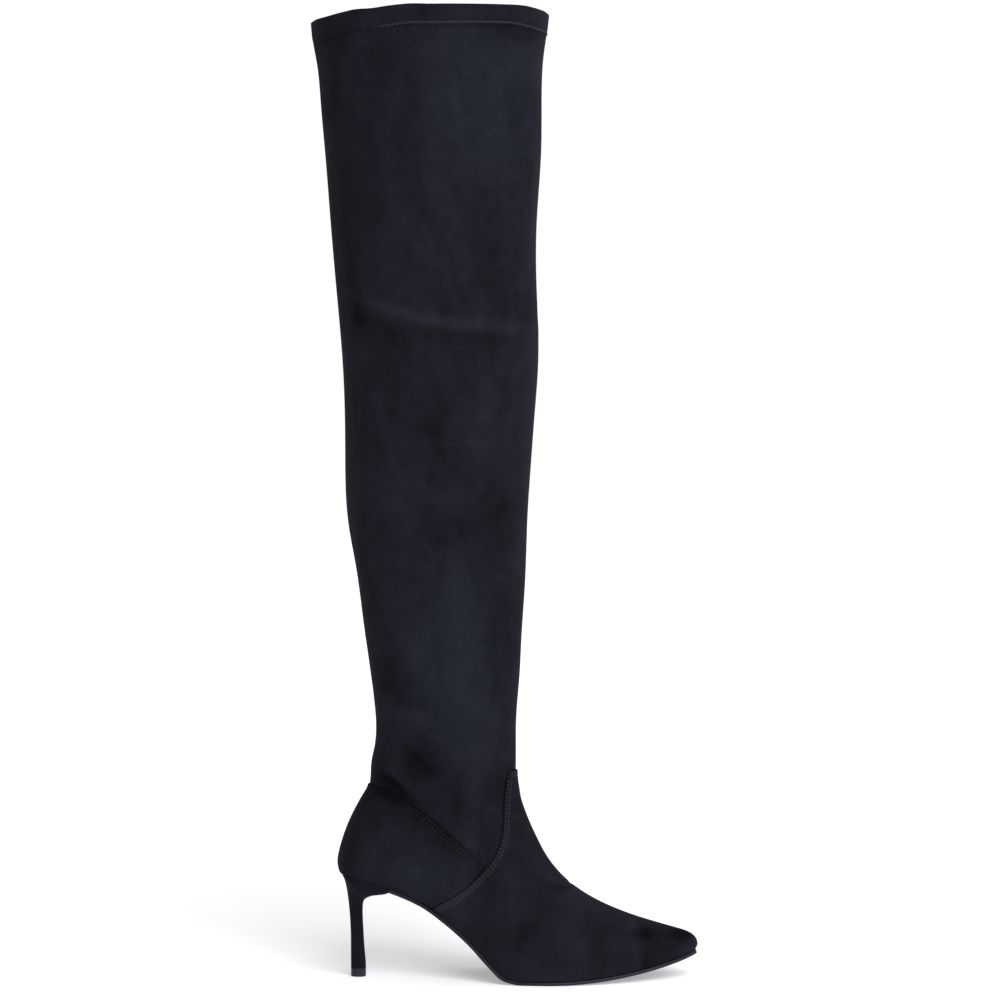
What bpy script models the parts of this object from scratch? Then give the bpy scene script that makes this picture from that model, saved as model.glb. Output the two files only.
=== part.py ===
"""Right thigh-high boot of stretch suede, with a pointed toe and a slim covered heel.

Metres. The origin is on the floor, at the middle of the heel tip's underside. +X points to the toe,
+Y to the inner side of the leg and +Z up, so the outer side of the boot faces -Y.
"""

import math

import bmesh
import bpy
import numpy as np

# Foot
FOOT_LENGTH = 0.2364  # back of the heel to the toe tip, over the lining form
HEEL_OVERHANG = 0.0122  # the heel's back stands this far behind the heel tip's middle
BALL_WIDTH = 0.0737  # lining form across the ball
HEEL_WIDTH = 0.0628  # lining form across the heel
SEAT_HEIGHT = 0.0718  # floor to the back edge of the heel seat
INSTEP_HEIGHT = 0.1376  # floor to the vamp's top edge, at the front of the ankle
TOE_SPRING = 0.0152  # how far the sole's tip is off the floor
TOE_CURVE = 2.1  # power that the toe spring grows with
TREAD_START = 0.500  # the sole's flat tread, in shares of the foot length
TREAD_END = 0.575

# Shaft
COLLAR_HEIGHT = 0.6385
COLLAR_TILT = 0.0046  # the collar's front is this much higher than its back
ANKLE_HEIGHT = 0.1595  # floor to the narrowest section, halfway between its front and its back
FRONT_RAKE = 0.0220  # the collar's front stands this far ahead of the ankle's
ANKLE_FRONT = 0.4957  # place of the ankle's front, in shares of the foot length
ANKLE_DEPTH = 0.0943
ANKLE_WIDTH = 0.0680
KNEE_DEPTH = 0.1303
KNEE_WIDTH = 0.1060
COLLAR_DEPTH = 0.1584
COLLAR_WIDTH = 0.1240

# Thicknesses
SHAFT_WALL = 0.0016  # stretch suede with its lining
HEM_WALL = 0.0028  # the same where it is turned in at the collar
HEM_HEIGHT = 0.0122
OVERLAY_WALL = 0.0015  # vamp and counter suede
CLEARANCE = 0.0003  # between pieces that meet
SOLE_WALL = 0.0022
SOLE_MARGIN = 0.0008  # the sole shows this far outside the upper
SOLE_EDGE_BEVEL = 0.0005
INSOLE_WALL = 0.0024

# Heel and heel tip
TIP_HEIGHT = 0.0056
TIP_DEPTH = 0.0100
TIP_WIDTH = 0.0098
TIP_BEVEL = 0.0004
STEM_DEPTH = 0.0084
STEM_WIDTH = 0.0094
BREAST_REACH = 0.0340  # the heel's front lip, ahead of the heel's back

# Meshes
FORM_COLUMNS = 28
FINE_COLUMNS = 96  # round the form, where its outline on the sole is measured
FINE_RINGS = 400
HEEL_COLUMNS_ROUND = 24
SOLE_STEPS = 65
TOE_STEPS = (0.9, 0.55, 0.3, 0.14, 0.05, 0.0)  # the outsole's last sections, in steps from its tip
CUTTER_MARGIN = 0.040
BEHIND = -HEEL_OVERHANG - CUTTER_MARGIN  # cutters reach from here to AHEAD
AHEAD = FOOT_LENGTH - HEEL_OVERHANG + CUTTER_MARGIN
SEAM_STEPS = 22
WELD = 1e-6

# The lining form between toe and ankle, a row for each section. x in shares of the foot length from
# the heel's back. A section's low or back end is raised by "seat" of the seat height and by "spring" of
# the toe spring, its front end by "instep" of the instep height and by "spring". Half widths are in
# shares of half the ball width, and in the seat's rows of half the heel width. "widest" is where the
# section is widest, as a share of the way from its back end to its front end, and "back_n" and "front_n"
# are how square it is behind and ahead of that, with 2 for an ellipse.
FOOT_COLUMNS = (
    "back_x",
    "seat",
    "front_x",
    "instep",
    "spring",
    "outer",
    "inner",
    "widest",
    "back_n",
    "front_n",
)
FOOT_ROWS = (
    (1.0000, 0.110, 1.0000, 0.0574, 0.88, 0.000, 0.000, 0.42, 2.2, 2.0),
    (0.9890, 0.077, 0.9955, 0.082, 0.88, 0.105, 0.120, 0.42, 2.3, 2.0),
    (0.9720, 0.046, 0.9810, 0.104, 0.86, 0.210, 0.235, 0.40, 2.5, 2.0),
    (0.9480, 0.026, 0.9550, 0.131, 0.76, 0.325, 0.365, 0.38, 2.7, 2.0),
    (0.9120, -0.015, 0.9165, 0.167, 0.60, 0.450, 0.500, 0.36, 2.9, 2.0),
    (0.8560, -0.030, 0.8620, 0.216, 0.40, 0.605, 0.655, 0.33, 3.0, 2.0),
    (0.7800, -0.038, 0.7920, 0.282, 0.17, 0.775, 0.810, 0.30, 3.0, 2.0),
    (0.6950, -0.044, 0.7160, 0.355, 0.04, 0.930, 0.935, 0.28, 3.0, 2.0),
    (0.6100, -0.048, 0.6580, 0.423, 0.00, 1.030, 0.975, 0.27, 3.0, 1.95),
    (0.5260, -0.048, 0.6080, 0.501, 0.00, 1.055, 0.950, 0.28, 2.9, 1.95),
    (0.4530, -0.030, 0.5755, 0.575, 0.00, 1.005, 0.905, 0.31, 2.8, 1.95),
    (0.3815, 0.215, 0.5500, 0.656, 0.00, 0.935, 0.870, 0.34, 2.6, 1.95),
    (0.3010, 0.472, 0.5280, 0.737, 0.00, 0.890, 0.855, 0.36, 2.5, 1.95),
    (0.2120, 0.675, 0.5110, 0.812, 0.00, 0.860, 0.848, 0.36, 2.4, 1.95),
)
SEAT_ROWS = (
    (0.1270, 0.806, 0.5010, 0.874, 0.0, 0.963, 0.963, 0.34, 3.2, 1.95),
    (0.0600, 0.872, 0.4975, 0.920, 0.0, 0.978, 0.978, 0.31, 3.0, 1.95),
    (0.0135, 0.945, 0.4955, 0.951, 0.0, 0.990, 0.990, 0.28, 2.6, 1.95),
)
# How square the shaft's sections are behind and ahead of their widest place, with 2 for an ellipse.
CALF_ROUND = 2.0
SHIN_ROUND = 1.96
# From the seat up to the ankle: how far the back end has gone in and up from the back of the seat to
# the ankle's back, how far the front end has gone up from the instep to the ankle's front, and how far
# the width has grown from heel to ankle.
RISE_COLUMNS = ("back_in", "back_up", "front_up", "grow", "widest", "back_n")
RISE_ROWS = (
    (0.000, 0.045, -0.12, 0.00, 0.28, 2.3),
    (0.043, 0.150, -0.02, 0.05, 0.30, 2.15),
    (0.170, 0.273, 0.07, 0.11, 0.33, 2.05),
    (0.362, 0.409, 0.17, 0.21, 0.37, 2.0),
    (0.611, 0.546, 0.29, 0.38, 0.41, 2.0),
    (0.850, 0.693, 0.42, 0.62, 0.44, 2.0),
    (0.905, 0.853, 0.62, 0.91, 0.45, 2.0),
)
# The shaft from the ankle up: "rise" is the share of the way to the collar, "rake" that of the front's
# rake, "knee" that of the growth from ankle to knee size and "top" that from knee to collar size.
SHAFT_COLUMNS = ("rise", "rake", "knee", "top", "widest")
SHAFT_ROWS = (
    (0.000, 0.00, 0.000, 0.00, 0.46),
    (0.077, 0.11, 0.095, 0.00, 0.46),
    (0.133, 0.17, 0.245, 0.00, 0.46),
    (0.188, 0.25, 0.390, 0.00, 0.45),
    (0.245, 0.31, 0.535, 0.00, 0.45),
    (0.300, 0.35, 0.690, 0.00, 0.45),
    (0.384, 0.47, 0.825, 0.00, 0.45),
    (0.440, 0.56, 0.885, 0.00, 0.45),
    (0.524, 0.68, 1.000, 0.00, 0.46),
    (0.580, 0.66, 1.000, 0.06, 0.47),
    (0.650, 0.61, 1.000, 0.13, 0.48),
    (0.720, 0.64, 1.000, 0.255, 0.48),
    (0.804, 0.76, 1.000, 0.46, 0.48),
    (0.888, 0.78, 1.000, 0.60, 0.48),
    (0.943, 0.84, 1.000, 0.74, 0.48),
    (0.972, 0.93, 1.000, 0.90, 0.48),
    (1.000, 1.00, 1.000, 1.00, 0.48),
)
# The line that upper, sole and heel meet on: x in shares of the foot length, height in shares of the
# way from the tread to the seat. Ahead of the tread it rises by the toe spring.
SOLE_LINE_ROWS = (
    (-0.10, 1.130),
    (0.00, 1.000),
    (0.10, 0.898),
    (0.16, 0.829),
    (0.23, 0.717),
    (0.30, 0.551),
    (0.365, 0.361),
    (0.43, 0.131),
    (0.462, 0.034),
    (TREAD_START, 0.000),
)
# Seams seen from the side: x in shares of the foot length, height in shares of the way from the sole
# line to the instep height.
VAMP_SEAM_ROWS = (
    (0.256, 0.000),
    (0.303, 0.150),
    (0.360, 0.325),
    (0.410, 0.488),
    (0.444, 0.608),
    (0.457, 0.690),
    (0.461, 0.790),
    (0.464, 0.890),
    (0.471, 0.972),
)
VAMP_TAB_CORNER = 0.480
COUNTER_SEAM_ROWS = (
    (0.430, 0.455),
    (0.410, 0.488),
    (0.348, 0.548),
    (0.280, 0.640),
    (0.216, 0.742),
    (0.153, 0.832),
    (0.120, 0.860),
    (0.080, 0.866),
    (-0.050, 0.868),
)
# The heel from its foot up. "back" and "front" are the shares of the way from the stem's faces to the
# heel's back and to its front lip, "width" that from the stem's width to the seat's. Heights are in shares
# of the way from the heel tip to the seat's back edge.
HEEL_COLUMNS = ("back", "back_z", "front", "front_z", "width", "back_n", "front_n")
HEEL_BLOCK_ROWS = (
    (0.000, 0.000, 0.043, 0.000, 0.005, 2.2, 3.0),
    (0.000, 0.080, 0.028, 0.080, -0.005, 2.2, 3.0),
    (0.006, 0.220, -0.019, 0.220, -0.005, 2.2, 3.0),
    (0.023, 0.365, -0.052, 0.365, 0.014, 2.2, 3.0),
    (0.085, 0.500, -0.076, 0.490, 0.058, 2.1, 2.9),
    (0.186, 0.630, -0.081, 0.600, 0.157, 2.1, 2.8),
    (0.315, 0.745, -0.024, 0.678, 0.360, 2.1, 2.9),
    (0.462, 0.835, 0.176, 0.727, 0.640, 2.2, 3.2),
    (0.687, 0.915, 0.500, 0.756, 0.885, 2.3, 3.8),
    (0.912, 0.972, 0.869, 0.776, 0.985, 2.4, 4.8),
    (1.000, 1.030, 1.148, 0.822, 1.000, 2.4, 5.5),
)
HEEL_MIDDLE = 0.5  # where the heel is widest, as a share of the way from its back to its front
TIP_PLAN = (0.5, 2.3, 3.2)  # the heel tip's widest place and how square it is behind and ahead of that
STEM_BACK = 0.60  # the stem's back face, in stem depths behind the heel tip's middle
SEAT_PLACE = 0.085  # where the heel takes its width from the seat, in shares of the foot length

SUEDE = (0.012, 0.012, 0.017)
LEATHER = (0.020, 0.020, 0.026)
SOCK = (0.030, 0.029, 0.031)
TIP_PLASTIC = (0.026, 0.029, 0.042)


def spline(xs, ys, at):
    """Natural cubic spline through the points, read at the places asked for."""
    xs, ys = np.asarray(xs, float), np.asarray(ys, float)
    step = np.diff(xs)
    matrix = np.eye(len(xs))
    right = np.zeros(len(xs))
    for i in range(1, len(xs) - 1):
        matrix[i, i - 1 : i + 2] = step[i - 1], 2 * (step[i - 1] + step[i]), step[i]
        right[i] = 6 * ((ys[i + 1] - ys[i]) / step[i] - (ys[i] - ys[i - 1]) / step[i - 1])
    bend = np.linalg.solve(matrix, right)
    at = np.atleast_1d(np.asarray(at, float))
    k = np.clip(np.searchsorted(xs, at) - 1, 0, len(step) - 1)
    left, over = at - xs[k], xs[k + 1] - at
    return (
        (bend[k] * over**3 + bend[k + 1] * left**3) / (6 * step[k])
        + (ys[k] / step[k] - bend[k] * step[k] / 6) * over
        + (ys[k + 1] / step[k] - bend[k + 1] * step[k] / 6) * left
    )


def steady(xs, ys, at):
    """Cubic through the points that never overshoots them, so a level stretch stays level."""
    xs, ys = np.asarray(xs, float), np.asarray(ys, float)
    step = np.diff(xs)
    rate = np.diff(ys) / step
    slope = np.concatenate(([rate[0]], np.zeros(len(xs) - 2), [rate[-1]]))
    for i in range(1, len(xs) - 1):
        if rate[i - 1] * rate[i] > 0:
            slope[i] = 2 * rate[i - 1] * rate[i] / (rate[i - 1] + rate[i])
    at = np.clip(np.atleast_1d(np.asarray(at, float)), xs[0], xs[-1])
    k = np.clip(np.searchsorted(xs, at) - 1, 0, len(step) - 1)
    t = (at - xs[k]) / step[k]
    return (
        ys[k] * (1 + 2 * t) * (1 - t) ** 2
        + ys[k + 1] * t**2 * (3 - 2 * t)
        + step[k] * t * (1 - t) * (slope[k] * (1 - t) - slope[k + 1] * t)
    )


def foot_x(share):
    return share * FOOT_LENGTH - HEEL_OVERHANG


def sole_line(x):
    """Height of the line that the upper is cut off on, at x."""
    share = (np.asarray(x, float) + HEEL_OVERHANG) / FOOT_LENGTH
    tread = SOLE_WALL + CLEARANCE
    rows = np.array(SOLE_LINE_ROWS)
    rise = steady(rows[:, 0], rows[:, 1], share) * (SEAT_HEIGHT - tread)
    ahead = np.clip((share - TREAD_END) / (1 - TREAD_END), 0, None)
    return (tread + rise + TOE_SPRING * ahead**TOE_CURVE).reshape(np.shape(x))


def square_to_sole(x):
    """Direction, x and z, that points down from the sole line at right angles to it."""
    reach = SOLE_WALL / 2
    fall = (sole_line(x + reach) - sole_line(x - reach)) / (2 * reach)
    size = np.hypot(1, fall)
    return np.array((fall / size, -1 / size))


def foot_sections():
    """Sections of the lining form from the toe to the seat, as ends, half widths, widest and roundness."""
    found = []
    for rows, half in ((FOOT_ROWS, BALL_WIDTH / 2), (SEAT_ROWS, HEEL_WIDTH / 2)):
        for row in rows:
            r = dict(zip(FOOT_COLUMNS, row))
            spring = r["spring"] * TOE_SPRING
            found.append(
                (
                    foot_x(r["back_x"]),
                    r["seat"] * SEAT_HEIGHT + spring,
                    foot_x(r["front_x"]),
                    r["instep"] * INSTEP_HEIGHT + spring,
                    r["outer"] * half,
                    r["inner"] * half,
                    r["widest"],
                    r["back_n"],
                    r["front_n"],
                )
            )
    return found


def rise_sections(instep, ankle):
    """Sections between the last seat row, whose front is the instep, and the ankle."""
    found = []
    for row in RISE_ROWS:
        r = dict(zip(RISE_COLUMNS, row))
        back_x = foot_x(0) + r["back_in"] * (ankle[0] - foot_x(0))
        back_z = SEAT_HEIGHT + r["back_up"] * (ankle[1] - SEAT_HEIGHT)
        front_x = instep[2] + max(r["front_up"], 0) * (ankle[2] - instep[2])
        front_z = INSTEP_HEIGHT + r["front_up"] * (ankle[3] - INSTEP_HEIGHT)
        half = HEEL_WIDTH / 2 + r["grow"] * (ankle[4] - HEEL_WIDTH / 2)
        found.append((back_x, back_z, front_x, front_z, half, half, r["widest"], r["back_n"], SHIN_ROUND))
    return found


def shaft_sections():
    """Sections from the ankle to the collar."""
    found = []
    for row in SHAFT_ROWS:
        r = dict(zip(SHAFT_COLUMNS, row))
        height = ANKLE_HEIGHT + r["rise"] * (COLLAR_HEIGHT - ANKLE_HEIGHT)
        tilt = COLLAR_TILT / 2 + (1 - r["rise"]) ** 8 * COLLAR_TILT
        depth = ANKLE_DEPTH + r["knee"] * (KNEE_DEPTH - ANKLE_DEPTH) + r["top"] * (COLLAR_DEPTH - KNEE_DEPTH)
        width = ANKLE_WIDTH + r["knee"] * (KNEE_WIDTH - ANKLE_WIDTH) + r["top"] * (COLLAR_WIDTH - KNEE_WIDTH)
        front = foot_x(ANKLE_FRONT) + r["rake"] * FRONT_RAKE
        found.append(
            (front - depth, height - tilt, front, height + tilt, width / 2, width / 2, r["widest"], CALF_ROUND, SHIN_ROUND)
        )
    return found


def loft_table():
    """Every section of the form as an array, with its place along the boot in the first column."""
    foot, shaft = foot_sections(), shaft_sections()
    rows = np.array([*foot, *rise_sections(foot[-1], shaft[0]), *shaft])
    steps = np.diff(rows[:, :4], axis=0)
    travel = (np.hypot(steps[:, 0], steps[:, 1]) + np.hypot(steps[:, 2], steps[:, 3])) / 2
    return np.column_stack([np.concatenate(([0], np.cumsum(travel))), rows])


LOFT = loft_table()
ANKLE_ROW = len(FOOT_ROWS) + len(SEAT_ROWS) + len(RISE_ROWS)


def stations():
    """Places along the boot that get a ring of points: each table row, one between foot rows, and the hem."""
    rows = LOFT[:, 0]
    between = [(rows[i] + rows[i + 1]) / 2 for i in range(3, 14)]
    hem = rows[-1] - HEM_HEIGHT
    kept = [t for t in rows if abs(t - hem) > HEM_WALL or t == rows[-1]]
    return np.array(sorted([*kept, *between, hem - HEM_WALL / 2, hem]))


STATIONS = stations()


def sections_at(places):
    columns = [spline(LOFT[:, 0], LOFT[:, k], places) for k in range(1, LOFT.shape[1])]
    return np.column_stack(columns)


def ring(section, columns):
    """Points round a section, from its back end over the outer side, the front and the inner side."""
    back_x, back_z, front_x, front_z, outer, inner, widest, back_n, front_n = section
    turn = np.linspace(0, 2 * math.pi, columns, endpoint=False)
    along, across = -np.cos(turn), np.sin(turn)
    power = np.where(along < 0, 2 / back_n, 2 / front_n)
    along = np.sign(along) * np.abs(along) ** power
    side = np.abs(across) ** power
    along = np.where(along < 0, widest * (1 + along), widest + (1 - widest) * along)
    half = np.where(across >= 0, -max(outer, 0), max(inner, 0))
    return np.column_stack(
        [back_x + along * (front_x - back_x), half * side, back_z + along * (front_z - back_z)]
    )


def form_grid(places, columns=FORM_COLUMNS):
    """Rings of the lining form and their outward normals, as two arrays of station, column, xyz."""
    points = np.array([ring(s, columns) for s in sections_at(places)])
    lengthways = np.gradient(points, axis=0)
    around = np.roll(points, -1, axis=1) - np.roll(points, 1, axis=1)
    normals = np.cross(around, lengthways)
    size = np.linalg.norm(normals, axis=2, keepdims=True)
    normals = normals / np.maximum(size, 1e-12)
    normals[0] = (1, 0, 0) if places[0] <= 0 else normals[0]
    return points, normals


def material(name, colour, roughness):
    found = bpy.data.materials.new(name)
    found.use_nodes = True
    shader = found.node_tree.nodes["Principled BSDF"]
    shader.inputs["Base Color"].default_value = (*colour, 1)
    shader.inputs["Roughness"].default_value = roughness
    shader.inputs["Metallic"].default_value = 0.0
    found.diffuse_color = (*colour, 1)
    return found


def add_object(name, points, faces, finish=None, smooth_angle=35):
    mesh = bpy.data.meshes.new(name)
    mesh.from_pydata([tuple(p) for p in points], [], faces)
    work = bmesh.new()
    work.from_mesh(mesh)
    bmesh.ops.remove_doubles(work, verts=work.verts, dist=WELD)
    bmesh.ops.recalc_face_normals(work, faces=work.faces)
    work.to_mesh(mesh)
    work.free()
    if finish:
        mesh.materials.append(finish)
    mesh.shade_smooth()
    mesh.set_sharp_from_angle(angle=math.radians(smooth_angle))
    made = bpy.data.objects.new(name, mesh)
    bpy.context.scene.collection.objects.link(made)
    return made


def tube_faces(rings, columns, first=0, closed_start=False, closed_end=False):
    """Quads between rings of points that are stored one after another."""
    faces = []
    for i in range(rings - 1):
        for j in range(columns):
            a, b = first + i * columns + j, first + i * columns + (j + 1) % columns
            faces.append((a, b, b + columns, a + columns))
    if closed_start:
        faces.append(tuple(range(first, first + columns)))
    if closed_end:
        last = first + (rings - 1) * columns
        faces.append(tuple(range(last, last + columns)))
    return faces


def shell(name, places, outside, inside, finish=None):
    """The form's skin from outside to inside, both offsets along its normals, open at its last ring.
    It is open at the first ring too, unless that is the toe tip. inside may be a value for each ring."""
    points, normals = form_grid(places)
    rings, columns = points.shape[:2]
    inside = np.broadcast_to(np.asarray(inside, float), rings)[:, None, None]
    skins = np.concatenate([points + normals * outside, points + normals * inside]).reshape(-1, 3)
    outer, inner = 0, rings * columns
    faces = tube_faces(rings, columns, outer) + tube_faces(rings, columns, inner)
    ends = [rings - 1] if places[0] <= 0 else [0, rings - 1]
    for end in ends:
        for j in range(columns):
            a, b = end * columns + j, end * columns + (j + 1) % columns
            faces.append((outer + a, outer + b, inner + b, inner + a))
    return add_object(name, skins, faces, finish)


def solid_form(name, places, offset, finish=None):
    """The whole form at an offset along its normals, closed by a flat cap at its last ring."""
    points, normals = form_grid(places)
    rings, columns = points.shape[:2]
    skin = (points + normals * offset).reshape(-1, 3)
    return add_object(name, skin, tube_faces(rings, columns, closed_end=True), finish)


def side_prism(name, outline):
    """A cutter with this outline, x and z, seen from the side, and wider than the boot."""
    reach = COLLAR_WIDTH
    count = len(outline)
    points = [(x, y, z) for y in (-reach, reach) for x, z in outline]
    faces = [tuple(range(count)), tuple(range(count, 2 * count))]
    faces += [(i, (i + 1) % count, count + (i + 1) % count, count + i) for i in range(count)]
    made = add_object(name, points, faces)
    made.hide_render = True
    made.display_type = "WIRE"
    return made


def cut(target, cutter, operation="DIFFERENCE"):
    modifier = target.modifiers.new(cutter.name, "BOOLEAN")
    modifier.operation = operation
    modifier.solver = "EXACT"
    modifier.object = cutter


def sole_steps(start, end):
    """The two x and the places between them where every piece's sole line has a corner."""
    low, high = min(start, end), max(start, end)
    inner = [x for x in np.linspace(BEHIND, AHEAD, SOLE_STEPS) if low + CLEARANCE < x < high - CLEARANCE]
    return [start, *(inner if start < end else inner[::-1]), end]


def sole_line_points(start, end, lift=0.0):
    """The sole line between two x, raised by lift at right angles to it."""
    found = []
    for x in sole_steps(start, end):
        dx, dz = square_to_sole(x) * -lift
        found.append((float(x + dx), float(sole_line(x) + dz)))
    return found


def below_sole_line():
    """Everything under the sole line, which opens the upper underneath."""
    outline = [(BEHIND, -CUTTER_MARGIN), *sole_line_points(BEHIND, AHEAD), (AHEAD, -CUTTER_MARGIN)]
    return side_prism("cutter_below_sole_line", outline)


def seam_points(rows, count):
    """A seam's points in side view, from its table of shares."""
    rows = np.array(rows)
    travel = np.concatenate(([0], np.cumsum(np.hypot(*np.diff(rows, axis=0).T))))
    at = np.linspace(0, travel[-1], count)
    xs = foot_x(spline(travel, rows[:, 0], at))
    shares = spline(travel, rows[:, 1], at)
    floor = sole_line(xs)
    return [(float(x), float(z)) for x, z in zip(xs, floor + shares * (INSTEP_HEIGHT - floor))]


def moved_along(points, distance):
    """The points of a line moved sideways, to the left of its direction."""
    points = np.array(points)
    way = np.gradient(points, axis=0)
    way /= np.linalg.norm(way, axis=1, keepdims=True)
    return [tuple(map(float, p)) for p in points + distance * np.column_stack([-way[:, 1], way[:, 0]])]


def vamp_outline():
    """Front of the seam, from the sole line up, and the tab that crosses the front of the ankle."""
    seam = seam_points(VAMP_SEAM_ROWS, SEAM_STEPS)
    corner = (foot_x(VAMP_TAB_CORNER), INSTEP_HEIGHT)
    sole = sole_line_points(AHEAD, seam[0][0])
    return [*seam, corner, (AHEAD, INSTEP_HEIGHT), *sole[:-1]]


def counter_outline():
    """Behind the vamp's seam and under the counter's own."""
    seam = seam_points(VAMP_SEAM_ROWS, SEAM_STEPS)
    edge = moved_along(seam, CLEARANCE)
    top = seam_points(COUNTER_SEAM_ROWS, SEAM_STEPS)
    meeting = min(range(len(edge)), key=lambda i: math.dist(edge[i], top[1]))
    crossing = [p for p in top[1:] if p[0] < edge[meeting][0] - CLEARANCE]
    sole = sole_line_points(BEHIND, edge[0][0])
    return [*edge[: meeting + 1], *crossing, (BEHIND, top[-1][1]), *sole[:-1]]


def upper(finish):
    """One hollow skin from toe to collar, thicker at the hem, open underneath along the sole line."""
    hem = LOFT[-1, 0] - HEM_HEIGHT
    inside = [-(HEM_WALL if t >= hem else SHAFT_WALL) for t in STATIONS]
    made = shell("upper", STATIONS, 0.0, inside, finish)
    cut(made, below_sole_line())
    return made


def overlay(name, places, outline, finish):
    """A panel that lies over the upper, cut from a skin of the same form by its outline in side view."""
    made = shell(name, places, CLEARANCE + OVERLAY_WALL, CLEARANCE, finish)
    cut(made, side_prism("cutter_" + name, outline), "INTERSECT")
    return made


def feather(x_values, offset):
    """Half widths, outer and inner, of the boot's skin at the sole line, at each x, and the x it spans."""
    fine = LOFT[ANKLE_ROW, 0] * np.linspace(0, 1, FINE_RINGS) ** 2
    points, normals = form_grid(fine, FINE_COLUMNS)
    skin = points + normals * offset
    half_turn = FINE_COLUMNS // 2
    outer_side = list(range(half_turn + 1))
    inner_side = [-c for c in outer_side]
    found = []
    for columns in (outer_side, inner_side):
        xs, ys = [], []
        for path in skin[:, columns]:
            over = path[:, 2] - sole_line(path[:, 0])
            crossings = np.flatnonzero((over[:-1] <= 0) & (over[1:] > 0))
            if not len(crossings):
                continue
            i = crossings[0]
            share = over[i] / (over[i] - over[i + 1])
            place = path[i] + share * (path[i + 1] - path[i])
            xs.append(place[0])
            ys.append(abs(place[1]))
        order = np.argsort(xs)
        xs, ys = np.array(xs)[order], np.array(ys)[order]
        found.append((xs, ys))
    ends = max(f[0][0] for f in found), min(f[0][-1] for f in found)
    half = [np.interp(np.clip(x_values, *ends), xs, ys) for xs, ys in found]
    return half[0], half[1], ends


def sole_stations(start, end):
    """x of the outsole's cross sections, closer together at the round toe."""
    step = (AHEAD - BEHIND) / (SOLE_STEPS - 1)
    kept = [x for x in sole_steps(start, end) if x < end - step]
    return np.array([*kept, *(end - step * np.array(TOE_STEPS))])


def outsole(finish):
    """Thin sole from the toe to the heel's front lip, square edged with a small bevel underneath."""
    start = foot_x(0) + BREAST_REACH + CLEARANCE
    skin = CLEARANCE + OVERLAY_WALL
    _, _, ends = feather([start], skin)
    tip = ends[1]
    xs = sole_stations(start, tip)
    outer, inner, _ = feather(xs, skin)
    swell = SOLE_MARGIN * np.clip((xs - start) / (foot_x(TREAD_START) - start), 0, 1)
    narrowing = -np.gradient((outer + inner) / 2, xs)
    forward = np.hypot(narrowing, 1)
    outer += swell / forward
    inner += swell / forward
    xs += swell * narrowing / forward
    points = []
    for x, out, in_ in zip(xs, outer, inner):
        down = np.insert(square_to_sole(x), 1, 0)
        top = np.array((x, 0, sole_line(x))) + down * CLEARANCE
        bevel = min(SOLE_EDGE_BEVEL, out / 3)
        for side, depth in (
            (-out, 0),
            (-out, SOLE_WALL - bevel),
            (-out + bevel, SOLE_WALL),
            (in_ - bevel, SOLE_WALL),
            (in_, SOLE_WALL - bevel),
            (in_, 0),
        ):
            points.append(top + down * depth + np.array((0, side, 0)))
    faces = tube_faces(len(xs), 6, closed_start=True, closed_end=True)
    return add_object("outsole", points, faces, finish)


def insole(finish):
    """Sock board inside the upper, on the sole and the heel seat."""
    places = [t for t in STATIONS if t <= LOFT[ANKLE_ROW, 0]]
    made = solid_form("insole", places, -SHAFT_WALL - CLEARANCE, finish)
    lower = sole_line_points(BEHIND, AHEAD)
    upper_line = sole_line_points(AHEAD, BEHIND, INSOLE_WALL)
    cut(made, side_prism("cutter_insole", lower + upper_line), "INTERSECT")
    return made


def heel_rings():
    """The heel's rings from just over the heel tip to above the seat, where it is cut."""
    outer, inner, _ = feather([foot_x(SEAT_PLACE)], CLEARANCE + OVERLAY_WALL)
    seat_width = float(outer[0] + inner[0]) + SOLE_MARGIN
    foot = TIP_HEIGHT + CLEARANCE
    stem_back, stem_front = -STEM_BACK * STEM_DEPTH, STEM_DEPTH / 2
    lip = foot_x(0) + BREAST_REACH
    rows = np.array(HEEL_BLOCK_ROWS)
    at = np.linspace(0, len(rows) - 1, 2 * len(rows) - 1)
    found = []
    for row in np.column_stack([spline(np.arange(len(rows)), column, at) for column in rows.T]):
        r = dict(zip(HEEL_COLUMNS, row))
        half = (STEM_WIDTH + r["width"] * (seat_width - STEM_WIDTH)) / 2
        section = (
            stem_back + r["back"] * (foot_x(0) - stem_back),
            foot + r["back_z"] * (SEAT_HEIGHT - foot),
            stem_front + r["front"] * (lip - stem_front),
            foot + r["front_z"] * (SEAT_HEIGHT - foot),
            half,
            half,
            HEEL_MIDDLE,
            r["back_n"],
            r["front_n"],
        )
        found.append(ring(section, HEEL_COLUMNS_ROUND))
    return found


def heel(finish):
    """Covered heel, cut off along the seat and square at its front lip."""
    rings = heel_rings()
    points = np.concatenate(rings)
    faces = tube_faces(len(rings), HEEL_COLUMNS_ROUND, closed_start=True, closed_end=True)
    made = add_object("heel", points, faces, finish)
    top = COLLAR_HEIGHT / 4
    front = foot_x(0) + BREAST_REACH
    seat = sole_line_points(BEHIND, front, -CLEARANCE)
    lip = np.array(seat[-1]) + square_to_sole(front) * BREAST_REACH
    ahead = [tuple(map(float, lip)), (AHEAD, 0.0), (AHEAD, top), (BEHIND, top)]
    cut(made, side_prism("cutter_heel_seat", [*seat, *ahead]))
    return made


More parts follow.
